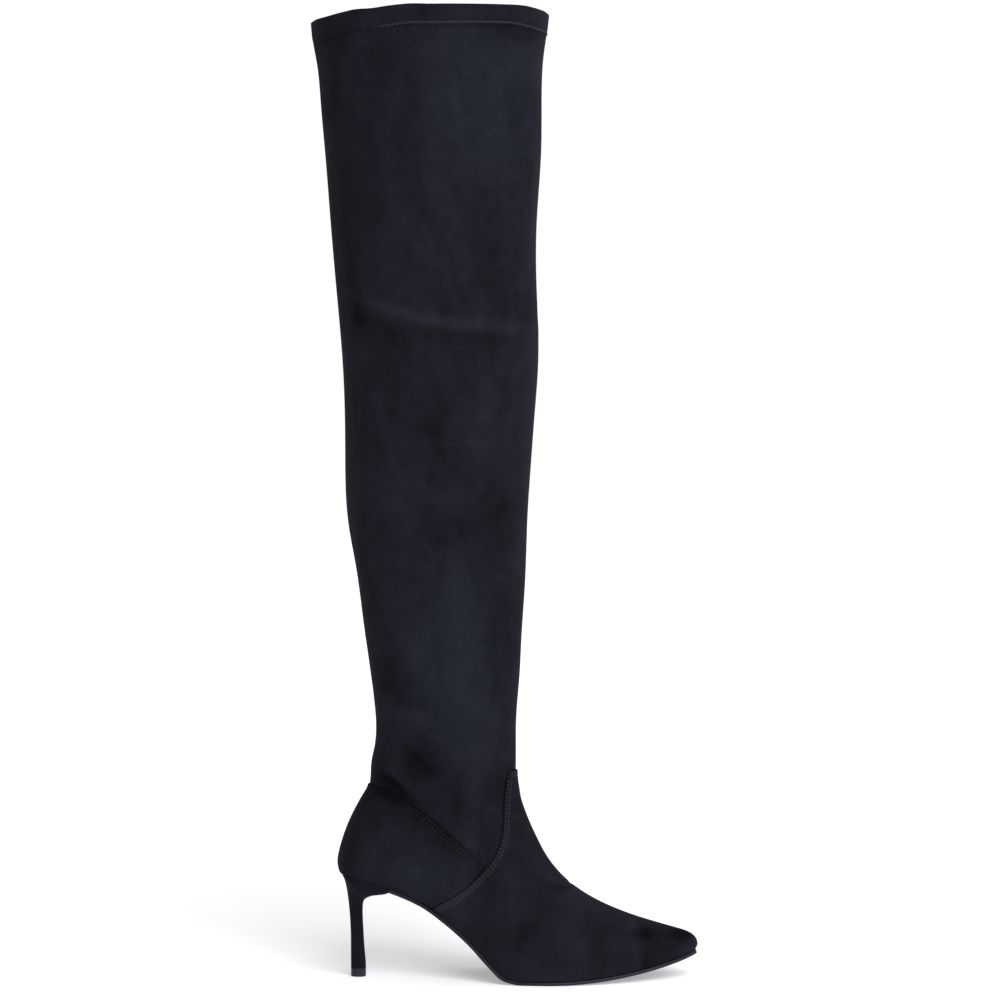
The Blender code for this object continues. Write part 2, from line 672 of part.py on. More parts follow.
def top_lift(finish):
    """Heel tip under the stem: rounded behind, nearly flat in front."""
    levels = ((0, TIP_BEVEL), (TIP_BEVEL, 0), (TIP_HEIGHT - TIP_BEVEL / 2, 0), (TIP_HEIGHT, TIP_BEVEL / 2))
    points = []
    for height, inset in levels:
        back, front = -TIP_DEPTH / 2 + inset, TIP_DEPTH / 2 - inset
        half = TIP_WIDTH / 2 - inset
        points.extend(ring((back, height, front, height, half, half, *TIP_PLAN), HEEL_COLUMNS_ROUND))
    faces = tube_faces(len(levels), HEEL_COLUMNS_ROUND, closed_start=True, closed_end=True)
    return add_object("top_lift", points, faces, finish)


def main():
    for old in list(bpy.data.objects):
        bpy.data.objects.remove(old)
    suede = material("suede", SUEDE, 0.95)
    leather = material("sole_leather", LEATHER, 0.35)
    sock = material("sock_lining", SOCK, 0.8)
    plastic = material("tip_plastic", TIP_PLASTIC, 0.4)
    upper(suede)
    vamp_places = [t for t in STATIONS if t <= LOFT[ANKLE_ROW + 1, 0]]
    counter_places = [t for t in STATIONS if LOFT[9, 0] <= t <= LOFT[ANKLE_ROW, 0]]
    overlay("vamp", vamp_places, vamp_outline(), suede)
    overlay("counter", counter_places, counter_outline(), suede)
    outsole(leather)
    insole(sock)
    heel(suede)
    top_lift(plastic)


main()
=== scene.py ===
"""Looks of the thigh-high boot: fine skins with rounded edges, stitching, creases, suede and floor.

Metres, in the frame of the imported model: +X to the toe, +Y to the inner side of the leg, +Z up, and the
origin on the floor under the heel tip. The form's tables repeat the part's own shares of its sizes, with a
fuller underside at the toe's tip.
"""

import math

import bmesh
import bpy
import numpy as np
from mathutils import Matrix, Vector
from mathutils.bvhtree import BVHTree


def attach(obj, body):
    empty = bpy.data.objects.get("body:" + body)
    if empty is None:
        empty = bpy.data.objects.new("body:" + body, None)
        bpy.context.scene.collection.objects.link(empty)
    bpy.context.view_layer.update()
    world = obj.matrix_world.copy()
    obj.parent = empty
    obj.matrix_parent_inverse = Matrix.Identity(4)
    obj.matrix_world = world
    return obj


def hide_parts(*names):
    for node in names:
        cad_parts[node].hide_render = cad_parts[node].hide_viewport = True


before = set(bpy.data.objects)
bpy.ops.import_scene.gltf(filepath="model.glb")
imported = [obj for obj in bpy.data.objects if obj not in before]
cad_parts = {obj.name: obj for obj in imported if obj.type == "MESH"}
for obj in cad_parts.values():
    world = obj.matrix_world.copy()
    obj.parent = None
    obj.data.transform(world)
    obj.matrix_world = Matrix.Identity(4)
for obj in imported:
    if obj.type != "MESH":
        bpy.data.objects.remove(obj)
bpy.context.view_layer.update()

# Foot
FOOT_LENGTH = 0.2364
HEEL_OVERHANG = 0.0122
BALL_WIDTH = 0.0737
HEEL_WIDTH = 0.0628
SEAT_HEIGHT = 0.0718
INSTEP_HEIGHT = 0.1376
TOE_SPRING = 0.0152
TOE_CURVE = 2.1
TREAD_START = 0.500
TREAD_END = 0.575

# Shaft
COLLAR_HEIGHT = 0.6385
COLLAR_TILT = 0.0046
ANKLE_HEIGHT = 0.1595
FRONT_RAKE = 0.0220
ANKLE_FRONT = 0.4957
ANKLE_DEPTH = 0.0943
ANKLE_WIDTH = 0.0680
KNEE_DEPTH = 0.1303
KNEE_WIDTH = 0.1060
COLLAR_DEPTH = 0.1584
COLLAR_WIDTH = 0.1240

# Thicknesses
CLEARANCE = 0.0003
SHAFT_WALL = 0.0016
HEM_WALL = 0.0028
HEM_HEIGHT = 0.0131
KNEE_FOLD = 0.435  # height of the fold behind the knee
OVERLAY_WALL = 0.0015
VAMP_EDGE = 0.0010  # height and radius of the vamp's rounded edge
COUNTER_EDGE = 0.0008
SOLE_WALL = 0.0022
SOLE_MARGIN = 0.0008
SOLE_EDGE_ROUND = 0.0007
TIP_HEIGHT = 0.0056
STEM_DEPTH = 0.0084
STEM_WIDTH = 0.0094
STEM_BACK = 0.60
SEAT_PLACE = 0.085
BREAST_REACH = 0.0340
LIP_DEPTH = 0.0080  # the heel's front lip is square to the sole this far down
SNUG = 0.00003  # gap where covered pieces press together

# Stitching
THREAD_RADIUS = 0.00043
STITCH_PITCH = 0.0027
STITCH_SHARE = 0.46  # of the pitch that the thread lies on top
VAMP_ROWS = (0.0012, 0.0037)  # rows of stitches, from the vamp's edge
COUNTER_ROWS = (0.0015, 0.0038)
STITCH_DENT = 0.00030
DENT_SHADE = 1300  # painted shade: how much darker the nap is painted in a dent, for each metre of its depth
FOLD_SHADING = 520  # painted light and shade: how much lighter the nap is painted on a fold's ridge, and darker in its trough, for each metre of the fold's height
HEM_ROW = 0.0121  # the hem's zigzag, below the collar
ZIGZAG_PITCH = 0.0033
ZIGZAG_HEIGHT = 0.0026
ZIGZAG_SHARE = 0.60
STITCH_SUNK = 0.7  # how deep threads lie in the nap, in radii
ZIGZAG_SUNK = 0.2
COUNTER_SINK = (0.65, 0.044, 0.018)  # radii deeper, growing from one x to another
HEM_SINK = (1.4, 0.026, 0.006)
DENT_HALF = 0.0006
RAY = 0.3  # rays that look for a skin start this far away

# Relief: a ramp is its height, start and end, a band its height, middle and half width
HEM_STEP = 0.00022
HEM_BEND = 0.0006
HEM_GROOVE = (-0.00018, HEM_ROW, 0.0011)
HEM_SAG_BACK = (0.0012, 0.014, -0.010)
HEM_SAG_FRONT = (0.0010, 0.105, 0.128)
SEAM_REACH = 0.03  # the back seam lies behind this x
SEAM_FOOT = (0.128, 0.134)  # and starts between these heights
SEAM_GROOVE = (-0.00035, 0, 0.0006)
SEAM_RIDGE = (0.00022, 0.0026, 0.0018)
EDGE_SINK = 0.00025  # how far the shaft is drawn in beside the overlays
EDGE_HALF = 0.0012
OVERLAY_RISE = 0.0006  # how much fuller an overlay is away from its edge
RISE_REACH = 0.012

# Painted shade and rubbed wear on the nap along edges, as bands: painted shade beside the overlays, under
# the hem, at the vamp's and counter's edges and just under the counter's top edge, and wear rubbed lighter
# on the vamp's edge
EDGE_SHADE = 0.35
HEM_SHADE = (0.45, 0.0006, 0.0013)
VAMP_SHADE = (0.30, 0, 0.0006)
VAMP_RUB = 0.75  # how much lighter the vamp's edge is rubbed
LOW_RUB = (0.90, 0.0530, 0.0060)  # and how much more round this height
RUB_BAND = (0.0026, 0.0021)
COUNTER_SHADE = (0.30, 0, 0.0008)
COUNTER_DUSK = (0.40, 0.003, 0.007)
# nap holds the nap's tone with painted light and shade; blue holds painted bluish light
NAP_VALUES = ("nap", "blue")  # what each point of a skin keeps for its suede

# Camera and light, from the photograph's own perspective
CAMERA_PLACE = (0.0943, -1.900, 0.358)
VIEW_WIDTH = 0.66667  # what the photograph spans at the boot's middle plane
VIEW_SHIFT = -0.0614
SENSOR = 36.0
FLOOR_REACH = 12.0

# The sections' back and front ends as shares of the foot's length, seat and instep, their share of the
# toe's spring, half widths outside and inside, widest place, and the roundness of back and front.
FOOT_ROWS = (
    (1.0, 0.11, 1.0, 0.0574, 0.88, 0.0, 0.0, 0.42, 2.2, 2.0),
    (0.991, 0.066, 0.9955, 0.082, 0.88, 0.105, 0.12, 0.42, 2.3, 2.0),
    (0.977, 0.042, 0.981, 0.104, 0.86, 0.21, 0.235, 0.4, 2.5, 2.0),
    (0.953, 0.022, 0.955, 0.131, 0.76, 0.325, 0.365, 0.38, 2.7, 2.0),
    (0.912, -0.015, 0.9165, 0.167, 0.6, 0.45, 0.5, 0.36, 2.9, 2.0),
    (0.856, -0.03, 0.862, 0.216, 0.4, 0.605, 0.655, 0.33, 3.0, 2.0),
    (0.78, -0.038, 0.792, 0.282, 0.17, 0.775, 0.81, 0.3, 3.0, 2.0),
    (0.695, -0.044, 0.716, 0.355, 0.04, 0.93, 0.935, 0.28, 3.0, 2.0),
    (0.61, -0.048, 0.658, 0.423, 0.0, 1.03, 0.975, 0.27, 3.0, 1.95),
    (0.526, -0.048, 0.608, 0.501, 0.0, 1.055, 0.95, 0.28, 2.9, 1.95),
    (0.453, -0.03, 0.5755, 0.575, 0.0, 1.005, 0.905, 0.31, 2.8, 1.95),
    (0.3815, 0.215, 0.55, 0.656, 0.0, 0.935, 0.87, 0.34, 2.6, 1.95),
    (0.301, 0.472, 0.528, 0.737, 0.0, 0.89, 0.855, 0.36, 2.5, 1.95),
    (0.212, 0.675, 0.511, 0.812, 0.0, 0.86, 0.848, 0.36, 2.4, 1.95),
)
# The same over the seat, with half widths as shares of the heel's.
SEAT_ROWS = (
    (0.127, 0.806, 0.501, 0.874, 0.0, 0.963, 0.963, 0.34, 3.2, 1.95),
    (0.06, 0.872, 0.4975, 0.92, 0.0, 0.978, 0.978, 0.31, 3.0, 1.95),
    (0.0135, 0.945, 0.4955, 0.951, 0.0, 0.99, 0.99, 0.28, 2.6, 1.95),
)
BALL_ROW, WAIST_ROW = 9, 11  # rows of FOOT_ROWS at the ball and at the waist behind it
CALF_ROUND = 2.0
SHIN_ROUND = 1.96
# Between foot and ankle: shares of the way for the back's x and z, the front, and the half width, then
# the widest place and the back's roundness.
RISE_ROWS = (
    (0.0, 0.045, -0.12, 0.0, 0.28, 2.3),
    (0.043, 0.15, -0.02, 0.05, 0.3, 2.15),
    (0.17, 0.273, 0.07, 0.11, 0.33, 2.05),
    (0.362, 0.409, 0.17, 0.21, 0.37, 2.0),
    (0.611, 0.546, 0.29, 0.38, 0.41, 2.0),
    (0.85, 0.693, 0.42, 0.62, 0.44, 2.0),
    (0.905, 0.853, 0.62, 0.91, 0.45, 2.0),
)
# Up the shaft: height, rake, share of the way to the knee's and the collar's size, and widest place.
SHAFT_ROWS = (
    (0.0, 0.0, 0.0, 0.0, 0.46),
    (0.077, 0.11, 0.095, 0.0, 0.46),
    (0.133, 0.17, 0.245, 0.0, 0.46),
    (0.188, 0.25, 0.39, 0.0, 0.45),
    (0.245, 0.31, 0.535, 0.0, 0.45),
    (0.3, 0.35, 0.69, 0.0, 0.45),
    (0.384, 0.47, 0.825, 0.0, 0.45),
    (0.44, 0.56, 0.885, 0.0, 0.45),
    (0.524, 0.68, 1.0, 0.0, 0.46),
    (0.58, 0.66, 1.0, 0.06, 0.47),
    (0.65, 0.61, 1.0, 0.13, 0.48),
    (0.72, 0.64, 1.0, 0.255, 0.48),
    (0.804, 0.76, 1.0, 0.46, 0.48),
    (0.888, 0.78, 1.0, 0.6, 0.48),
    (0.943, 0.84, 1.0, 0.74, 0.48),
    (0.972, 0.93, 1.0, 0.9, 0.48),
    (1.0, 1.0, 1.0, 1.0, 0.48),
)
# Side-view lines: share of the foot's length, and of the height of seat or instep.
SOLE_LINE_ROWS = (
    (-0.1, 1.13), (0.0, 1.0), (0.1, 0.898), (0.16, 0.829), (0.23, 0.717),
    (0.3, 0.551), (0.365, 0.361), (0.43, 0.131), (0.462, 0.034), (TREAD_START, 0.0),
)
VAMP_SEAM_ROWS = (
    (0.256, 0.0), (0.303, 0.15), (0.36, 0.325), (0.41, 0.488), (0.444, 0.608),
    (0.457, 0.69), (0.461, 0.79), (0.464, 0.89), (0.471, 0.972),
)
COUNTER_SEAM_ROWS = (
    (0.43, 0.455), (0.41, 0.488), (0.348, 0.548), (0.28, 0.64), (0.216, 0.742),
    (0.153, 0.832), (0.12, 0.86), (0.08, 0.866), (-0.05, 0.868),
)
# Up the heel: back and front ends as shares of the way from the stem to the seat, in x and z, then the
# width's share and the roundness of back and front.
HEEL_BLOCK_ROWS = (
    (0.0, 0.0, 0.043, 0.0, 0.005, 2.2, 3.0),
    (0.0, 0.08, 0.028, 0.08, -0.005, 2.2, 3.0),
    (0.006, 0.22, -0.019, 0.22, -0.005, 2.2, 3.0),
    (0.023, 0.365, -0.052, 0.365, 0.014, 2.2, 3.0),
    (0.085, 0.5, -0.076, 0.49, 0.058, 2.1, 2.9),
    (0.186, 0.63, -0.081, 0.6, 0.157, 2.1, 2.8),
    (0.315, 0.745, -0.024, 0.678, 0.36, 2.1, 2.9),
    (0.462, 0.835, 0.176, 0.727, 0.64, 2.2, 3.2),
    (0.687, 0.915, 0.5, 0.756, 0.885, 2.3, 3.8),
    (0.912, 0.972, 0.869, 0.776, 0.985, 2.4, 4.8),
    (1.0, 1.03, 1.148, 0.822, 1.0, 2.4, 5.5),
)

# Soft folds seen from the side: ends in metres, how far the middle bows up, half width, height and side,
# with -1 for the outer side, 1 for the inner and 0 for both.
FOLDS = (
    (-0.005, 0.454, 0.092, 0.4315, -0.007, 0.0044, 0.002, -1),
    (-0.005, 0.444, 0.04, 0.423, -0.005, 0.006, -0.0009, -1),
    (0.034, 0.424, 0.112, 0.4235, 0.001, 0.0055, -0.00055, -1),
    (0.085, 0.431, 0.118, 0.43, 0.0, 0.0055, 0.0011, 0),
    (0.017, 0.144, 0.035, 0.1265, 0.001, 0.0028, 0.0011, 0),
    (0.016, 0.138, 0.041, 0.116, 0.001, 0.0026, -0.0012, 0),
    (0.03, 0.154, 0.056, 0.132, 0.002, 0.008, -0.0006, -1),
    (0.06, 0.118, 0.092, 0.1, 0.002, 0.006, -0.0005, 0),
    (0.189, 0.023, 0.1895, 0.009, 0.0004, 0.0009, -0.0006, -1),
    (0.124, 0.0625, 0.142, 0.06, -0.001, 0.0016, -0.0015, 0),
    (-0.004, 0.462, 0.09, 0.438, 0.003, 0.005, 0.0011, 1),
    (-0.004, 0.45, 0.07, 0.429, 0.002, 0.0065, -0.0009, 1),
    (0.008, 0.23, 0.03, 0.185, 0.002, 0.009, -0.0007, 0),
    (0.012, 0.195, 0.062, 0.183, -0.002, 0.0065, -0.0006, -1),
    (0.01, 0.186, 0.05, 0.174, -0.002, 0.006, 0.0006, -1),
    (0.086, 0.308, 0.102, 0.28, 0.0, 0.01, -0.0005, -1),
    (0.155, 0.04, 0.186, 0.032, 0.001, 0.004, 0.0004, -1),
)
# Soft patches on the outer side: middle and half sizes, and how much lighter each is. Some are nap brushed
# the other way; others are painted shade along the back edge and under the folds at knee and ankle, and
# painted light on the shin and thigh where the key light falls.
NAP_AND_SHADING_PATCHES = (
    (0.09, 0.417, 0.014, 0.01, -0.45),
    (0.098, 0.388, 0.008, 0.012, -0.35),
    (0.094, 0.314, 0.013, 0.011, -0.6),
    (0.07, 0.3, 0.022, 0.012, -0.3),
    (0.028, 0.198, 0.018, 0.008, -0.3),
    (0.04, 0.148, 0.011, 0.012, -0.55),
    (0.048, 0.139, 0.01, 0.01, -0.35),
    (0.024, 0.13, 0.01, 0.008, -0.5),
    (0.06, 0.115, 0.03, 0.016, -0.25),
    (0.064, 0.215, 0.03, 0.085, 0.62),
    (0.086, 0.576, 0.046, 0.052, 0.45),
    (0.104, 0.505, 0.016, 0.03, 0.3),
    (0.106, 0.418, 0.01, 0.014, 0.3),
    (0.09, 0.2, 0.007, 0.06, -0.3),
    (0.108, 0.624, 0.024, 0.008, -0.7),
    (-0.028, 0.58, 0.018, 0.08, -0.6),
    (-0.016, 0.48, 0.018, 0.06, -0.5),
    (-0.002, 0.43, 0.016, 0.02, -0.35),
    (0.014, 0.136, 0.012, 0.008, -0.4),
    (0.04, 0.072, 0.016, 0.011, 0.42),
    (0.014, 0.1, 0.022, 0.022, -0.2),
    (0.106, 0.034, 0.03, 0.018, -0.4),
    (0.122, 0.078, 0.034, 0.03, -0.35),
    (0.189, 0.03, 0.0085, 0.0033, -1.15),
    (0.216, 0.029, 0.0075, 0.0034, -2.2),
    (0.205, 0.021, 0.005, 0.0022, -0.45),
    (0.215, 0.019, 0.008, 0.003, 0.55),
    (0.171, 0.017, 0.012, 0.006, -0.3),
)
# Where the suede is painted bluer, in the same way: mostly painted light on the shin and thigh where the key
# light falls, as the lit nap looks bluish.
BLUE_LIGHT_PATCHES = (
    (0.064, 0.215, 0.032, 0.085, 0.48),
    (0.088, 0.58, 0.046, 0.05, 0.5),
    (0.04, 0.072, 0.02, 0.014, 0.5),
)
# How the soft collar's edge rises and sags on the outer side: place and height in metres.
COLLAR_WAVES = (
    (-0.032, -0.0012), (-0.022, -0.0018), (-0.01, -0.001), (0.0, -0.0002), (0.01, -0.0006),
    (0.022, 0.0002), (0.036, 0.0008), (0.05, 0.0002), (0.07, 0.0001), (0.095, 0.0005),
    (0.11, 0.001), (0.122, 0.0002), (0.132, -0.0004),
)


def spline(xs, ys, at):
    """Natural cubic spline through the points, read at the places asked for."""
    step = np.diff(xs)
    matrix = np.eye(len(xs))
    right = np.zeros(len(xs))
    for i in range(1, len(xs) - 1):
        matrix[i, i - 1 : i + 2] = step[i - 1], 2 * (step[i - 1] + step[i]), step[i]
        right[i] = 6 * ((ys[i + 1] - ys[i]) / step[i] - (ys[i] - ys[i - 1]) / step[i - 1])
    bend = np.linalg.solve(matrix, right)
    k = np.clip(np.searchsorted(xs, at) - 1, 0, len(step) - 1)
    left, over = at - xs[k], xs[k + 1] - at
    return (
        (bend[k] * over**3 + bend[k + 1] * left**3) / (6 * step[k])
        + (ys[k] / step[k] - bend[k] * step[k] / 6) * over
        + (ys[k + 1] / step[k] - bend[k + 1] * step[k] / 6) * left
    )


def steady(xs, ys, at):
    """Cubic through the points that never overshoots them, so a level stretch stays level."""
    step = np.diff(xs)
    rate = np.diff(ys) / step
    slope = np.concatenate(([rate[0]], np.zeros(len(xs) - 2), [rate[-1]]))
    for i in range(1, len(xs) - 1):
        if rate[i - 1] * rate[i] > 0:
            slope[i] = 2 * rate[i - 1] * rate[i] / (rate[i - 1] + rate[i])
    at = np.clip(at, xs[0], xs[-1])
    k = np.clip(np.searchsorted(xs, at) - 1, 0, len(step) - 1)
    t = (at - xs[k]) / step[k]
    return (
        ys[k] * (1 + 2 * t) * (1 - t) ** 2
        + ys[k + 1] * t**2 * (3 - 2 * t)
        + step[k] * t * (1 - t) * (slope[k] * (1 - t) - slope[k + 1] * t)
    )


def smooth_step(low, high, value):
    share = np.clip((value - low) / (high - low), 0, 1)
    return share * share * (3 - 2 * share)


def foot_x(share):
    return share * FOOT_LENGTH - HEEL_OVERHANG


def sole_line(x):
    """Height of the line that upper, sole and heel meet on, at x."""
    share = (np.asarray(x, float) + HEEL_OVERHANG) / FOOT_LENGTH
    tread = SOLE_WALL + CLEARANCE
    rows = np.array(SOLE_LINE_ROWS)
    rise = steady(rows[:, 0], rows[:, 1], share.ravel()).reshape(share.shape) * (SEAT_HEIGHT - tread)
    ahead = np.clip((share - TREAD_END) / (1 - TREAD_END), 0, None)
    return tread + rise + TOE_SPRING * ahead**TOE_CURVE


def square_to_sole(x):
    """Directions, as x and z, that point down from the sole line at right angles to it."""
    reach = SOLE_WALL / 2
    fall = (sole_line(x + reach) - sole_line(x - reach)) / (2 * reach)
    size = np.hypot(1, fall)
    return np.stack((fall / size, -1 / size), axis=-1)


def ramp(value, height, start, full):
    """Rises softly from 0 at start to a height at full."""
    return height * smooth_step(start, full, value)


def band(value, height, middle, half):
    """A soft bell of a height round a middle, with half its width."""
    return height * np.exp(-(((value - middle) / half) ** 2))


def foot_sections():
    found = []
    for rows, half in ((FOOT_ROWS, BALL_WIDTH / 2), (SEAT_ROWS, HEEL_WIDTH / 2)):
        for back_x, seat, front_x, instep, spring, outer, inner, *shape in rows:
            lift = spring * TOE_SPRING
            back = foot_x(back_x), seat * SEAT_HEIGHT + lift
            front = foot_x(front_x), instep * INSTEP_HEIGHT + lift
            found.append((*back, *front, outer * half, inner * half, *shape))
    return found


def rise_sections(instep, ankle):
    found = []
    for back_in, back_up, front_up, grow, widest, back_n in RISE_ROWS:
        back_x = foot_x(0) + back_in * (ankle[0] - foot_x(0))
        back_z = SEAT_HEIGHT + back_up * (ankle[1] - SEAT_HEIGHT)
        front_x = instep[2] + max(front_up, 0) * (ankle[2] - instep[2])
        front_z = INSTEP_HEIGHT + front_up * (ankle[3] - INSTEP_HEIGHT)
        half = HEEL_WIDTH / 2 + grow * (ankle[4] - HEEL_WIDTH / 2)
        found.append((back_x, back_z, front_x, front_z, half, half, widest, back_n, SHIN_ROUND))
    return found


def shaft_sections():
    found = []
    for rise, rake, knee, top, widest in SHAFT_ROWS:
        height = ANKLE_HEIGHT + rise * (COLLAR_HEIGHT - ANKLE_HEIGHT)
        tilt = COLLAR_TILT / 2 + (1 - rise) ** 8 * COLLAR_TILT
        depth = ANKLE_DEPTH + knee * (KNEE_DEPTH - ANKLE_DEPTH) + top * (COLLAR_DEPTH - KNEE_DEPTH)
        half = (ANKLE_WIDTH + knee * (KNEE_WIDTH - ANKLE_WIDTH) + top * (COLLAR_WIDTH - KNEE_WIDTH)) / 2
        front = foot_x(ANKLE_FRONT) + rake * FRONT_RAKE
        back = front - depth
        found.append((back, height - tilt, front, height + tilt, half, half, widest, CALF_ROUND, SHIN_ROUND))
    return found


def loft_table():
    """Every section of the form, with its place along the boot in the first column."""
    foot, shaft = foot_sections(), shaft_sections()
    rows = np.array([*foot, *rise_sections(foot[-1], shaft[0]), *shaft])
    steps = np.diff(rows[:, :4], axis=0)
    travel = (np.hypot(steps[:, 0], steps[:, 1]) + np.hypot(steps[:, 2], steps[:, 3])) / 2
    return np.column_stack([np.concatenate(([0], np.cumsum(travel))), rows])


LOFT = loft_table()
ANKLE = LOFT[len(FOOT_ROWS) + len(SEAT_ROWS) + len(RISE_ROWS), 0]
BALL, WAIST = LOFT[BALL_ROW, 0], LOFT[WAIST_ROW, 0]
COLLAR = LOFT[-1, 0]
COLLAR_MIDDLE = (LOFT[-1, 1] + LOFT[-1, 3]) / 2


def ring(section, columns):
    """Points round a section, from its back end over the outer side, the front and the inner side."""
    back_x, back_z, front_x, front_z, outer, inner, widest, back_n, front_n = section
    turn = np.linspace(0, 2 * math.pi, columns, endpoint=False)
    along, across = -np.cos(turn), np.sin(turn)
    power = np.where(along < 0, 2 / back_n, 2 / front_n)
    along = np.sign(along) * np.abs(along) ** power
    side = np.abs(across) ** power
    along = np.where(along < 0, widest * (1 + along), widest + (1 - widest) * along)
    half = np.where(across >= 0, -max(outer, 0), max(inner, 0))
    return np.column_stack(
        [back_x + along * (front_x - back_x), half * side, back_z + along * (front_z - back_z)]
    )


def form_grid(places, columns):
    """Rings of the form and their outward normals, as two arrays of station, column, xyz."""
    sections = np.column_stack([spline(LOFT[:, 0], LOFT[:, k], places) for k in range(1, LOFT.shape[1])])
    points = np.array([ring(s, columns) for s in sections])
    lengthways = np.gradient(points, axis=0)
    around = np.roll(points, -1, axis=1) - np.roll(points, 1, axis=1)
    normals = np.cross(around, lengthways)
    size = np.linalg.norm(normals, axis=2, keepdims=True)
    normals = normals / np.maximum(size, 1e-12)
    if places[0] <= 0:
        normals[0] = (1, 0, 0)
    return points, normals


def seam_line(rows):
    """A seam in side view as points, from its table of shares."""
    rows = np.array(rows)
    travel = np.concatenate(([0], np.cumsum(np.hypot(*np.diff(rows, axis=0).T))))
    at = np.linspace(0, travel[-1], 90)
    xs = foot_x(spline(travel, rows[:, 0], at))
    floor = sole_line(xs)
    return np.column_stack([xs, floor + spline(travel, rows[:, 1], at) * (INSTEP_HEIGHT - floor)])


def side_distance(points, line):
    """How far points are, in side view, to the right of a line's direction. Its ends run on straight."""
    reach = 0.2
    ends = []
    for end, neighbour in ((line[0], line[1]), (line[-1], line[-2])):
        way = end - neighbour
        ends.append(end + way / np.linalg.norm(way) * reach)
    line = np.vstack([ends[0], line, ends[1]])
    flat = points[:, [0, 2]]
    best = np.full(len(flat), np.inf)
    sign = np.ones(len(flat))
    for a, b in zip(line[:-1], line[1:]):
        way = b - a
        share = np.clip((flat - a) @ way / (way @ way), 0, 1)
        gap = flat - a - share[:, None] * way
        away = np.hypot(gap[:, 0], gap[:, 1])
        cross = way[1] * gap[:, 0] - way[0] * gap[:, 1]
        nearer = away < best - 1e-9
        best = np.where(nearer, away, best)
        sign = np.where(nearer, np.where(cross >= 0, 1, -1), sign)
    return best * sign


VAMP_SEAM = seam_line(VAMP_SEAM_ROWS)
COUNTER_SEAM = seam_line(COUNTER_SEAM_ROWS)


def vamp_inset(points):
    """Distance inside the vamp's edge: its side seams and the tab's top."""
    tab = INSTEP_HEIGHT - points[:, 2]
    return np.minimum(side_distance(points, VAMP_SEAM), tab)


def counter_depth(points):
    """Distance under the counter's own top edge."""
    return -side_distance(points, COUNTER_SEAM)


def counter_inset(points):
    """Distance inside the counter's edge: its own top edge and the vamp's seam."""
    return np.minimum(counter_depth(points), -side_distance(points, VAMP_SEAM) - CLEARANCE)


def on_side(points, side):
    """From 0 to 1 across the middle plane towards a side. Side 0 is both."""
    return smooth_step(-0.004, 0.010, points[:, 1] * side) if side else 1.0


def fold_height(points):
    """Height of the soft folds at the points."""
    total = np.zeros(len(points))
    for x0, z0, x1, z1, bow, width, height, side in FOLDS:
        start, end = np.array((x0, z0)), np.array((x1, z1))
        middle = (start + end) / 2 + (0, 2 * bow)
        best = np.full(len(points), np.inf)
        place = np.zeros(len(points))
        for s in np.linspace(0, 1, 40):
            spot = start * (1 - s) ** 2 + middle * 2 * s * (1 - s) + end * s**2
            away = np.hypot(points[:, 0] - spot[0], points[:, 2] - spot[1])
            place = np.where(away < best, s, place)
            best = np.minimum(best, away)
        fade = np.sin(math.pi * np.clip(place, 0.02, 0.98)) ** 0.7
        total += band(best, height, 0, width) * fade * on_side(points, side)
    return total


def patch_light(points, table):
    """The sum of a table's soft patches on the outer side, at the points."""
    total = np.zeros(len(points))
    for x, z, half_x, half_z, light in table:
        total += band(points[:, 0], light, x, half_x) * band(points[:, 2], 1, z, half_z)
    return total * on_side(points, -1)


def nap_and_fold_shading(points):
    """How much lighter the suede is painted at the points: painted light on fold ridges, painted shade in
    fold troughs, and the patches of nap tone, painted light and painted shade.
    """
    return FOLD_SHADING * fold_height(points) + patch_light(points, NAP_AND_SHADING_PATCHES)


def grid_mesh(places, columns):
    """The form between these places as a bmesh of quads that keeps its normals in a layer."""
    points, normals = form_grid(places, columns)
    work = bmesh.new()
    layer = work.verts.layers.float_vector.new("form_normal")
    verts = [work.verts.new(point) for point in points.reshape(-1, 3)]
    for vert, normal in zip(verts, normals.reshape(-1, 3)):
        vert[layer] = Vector(normal)
    for ids in tube_faces(len(places), columns)[:-2]:
        work.faces.new([verts[ids[i]] for i in (0, 3, 2, 1)])
    bmesh.ops.remove_doubles(work, verts=verts[:columns], dist=1e-6)
    return work


def coordinates(work):
    return np.array([v.co[:] for v in work.verts])


def split_along(work, measure, levels):
    """Cuts the mesh's faces along the lines where measure, a function of points, takes each level."""
    nearest = 2e-6
    for level in levels:
        values = measure(coordinates(work)) - level
        work.verts.ensure_lookup_table()
        work.verts.index_update()
        crossing = []
        for edge in work.edges:
            a, b = (values[v.index] for v in edge.verts)
            if a * b < 0 and min(abs(a), abs(b)) > nearest:
                crossing.append((edge, edge.verts[0], a / (a - b)))
        on_line = [v for v in work.verts if abs(values[v.index]) <= nearest]
        made = [bmesh.utils.edge_split(edge, vert, share)[1] for edge, vert, share in crossing]
        bmesh.ops.connect_verts(work, verts=made + on_line)


def keep_where(work, measure):
    """Deletes the faces whose middles measure less than 0."""
    faces = list(work.faces)
    middles = np.array([f.calc_center_median()[:] for f in faces])
    values = measure(middles)
    gone = [f for f, value in zip(faces, values) if value < 0]
    bmesh.ops.delete(work, geom=gone, context="FACES")


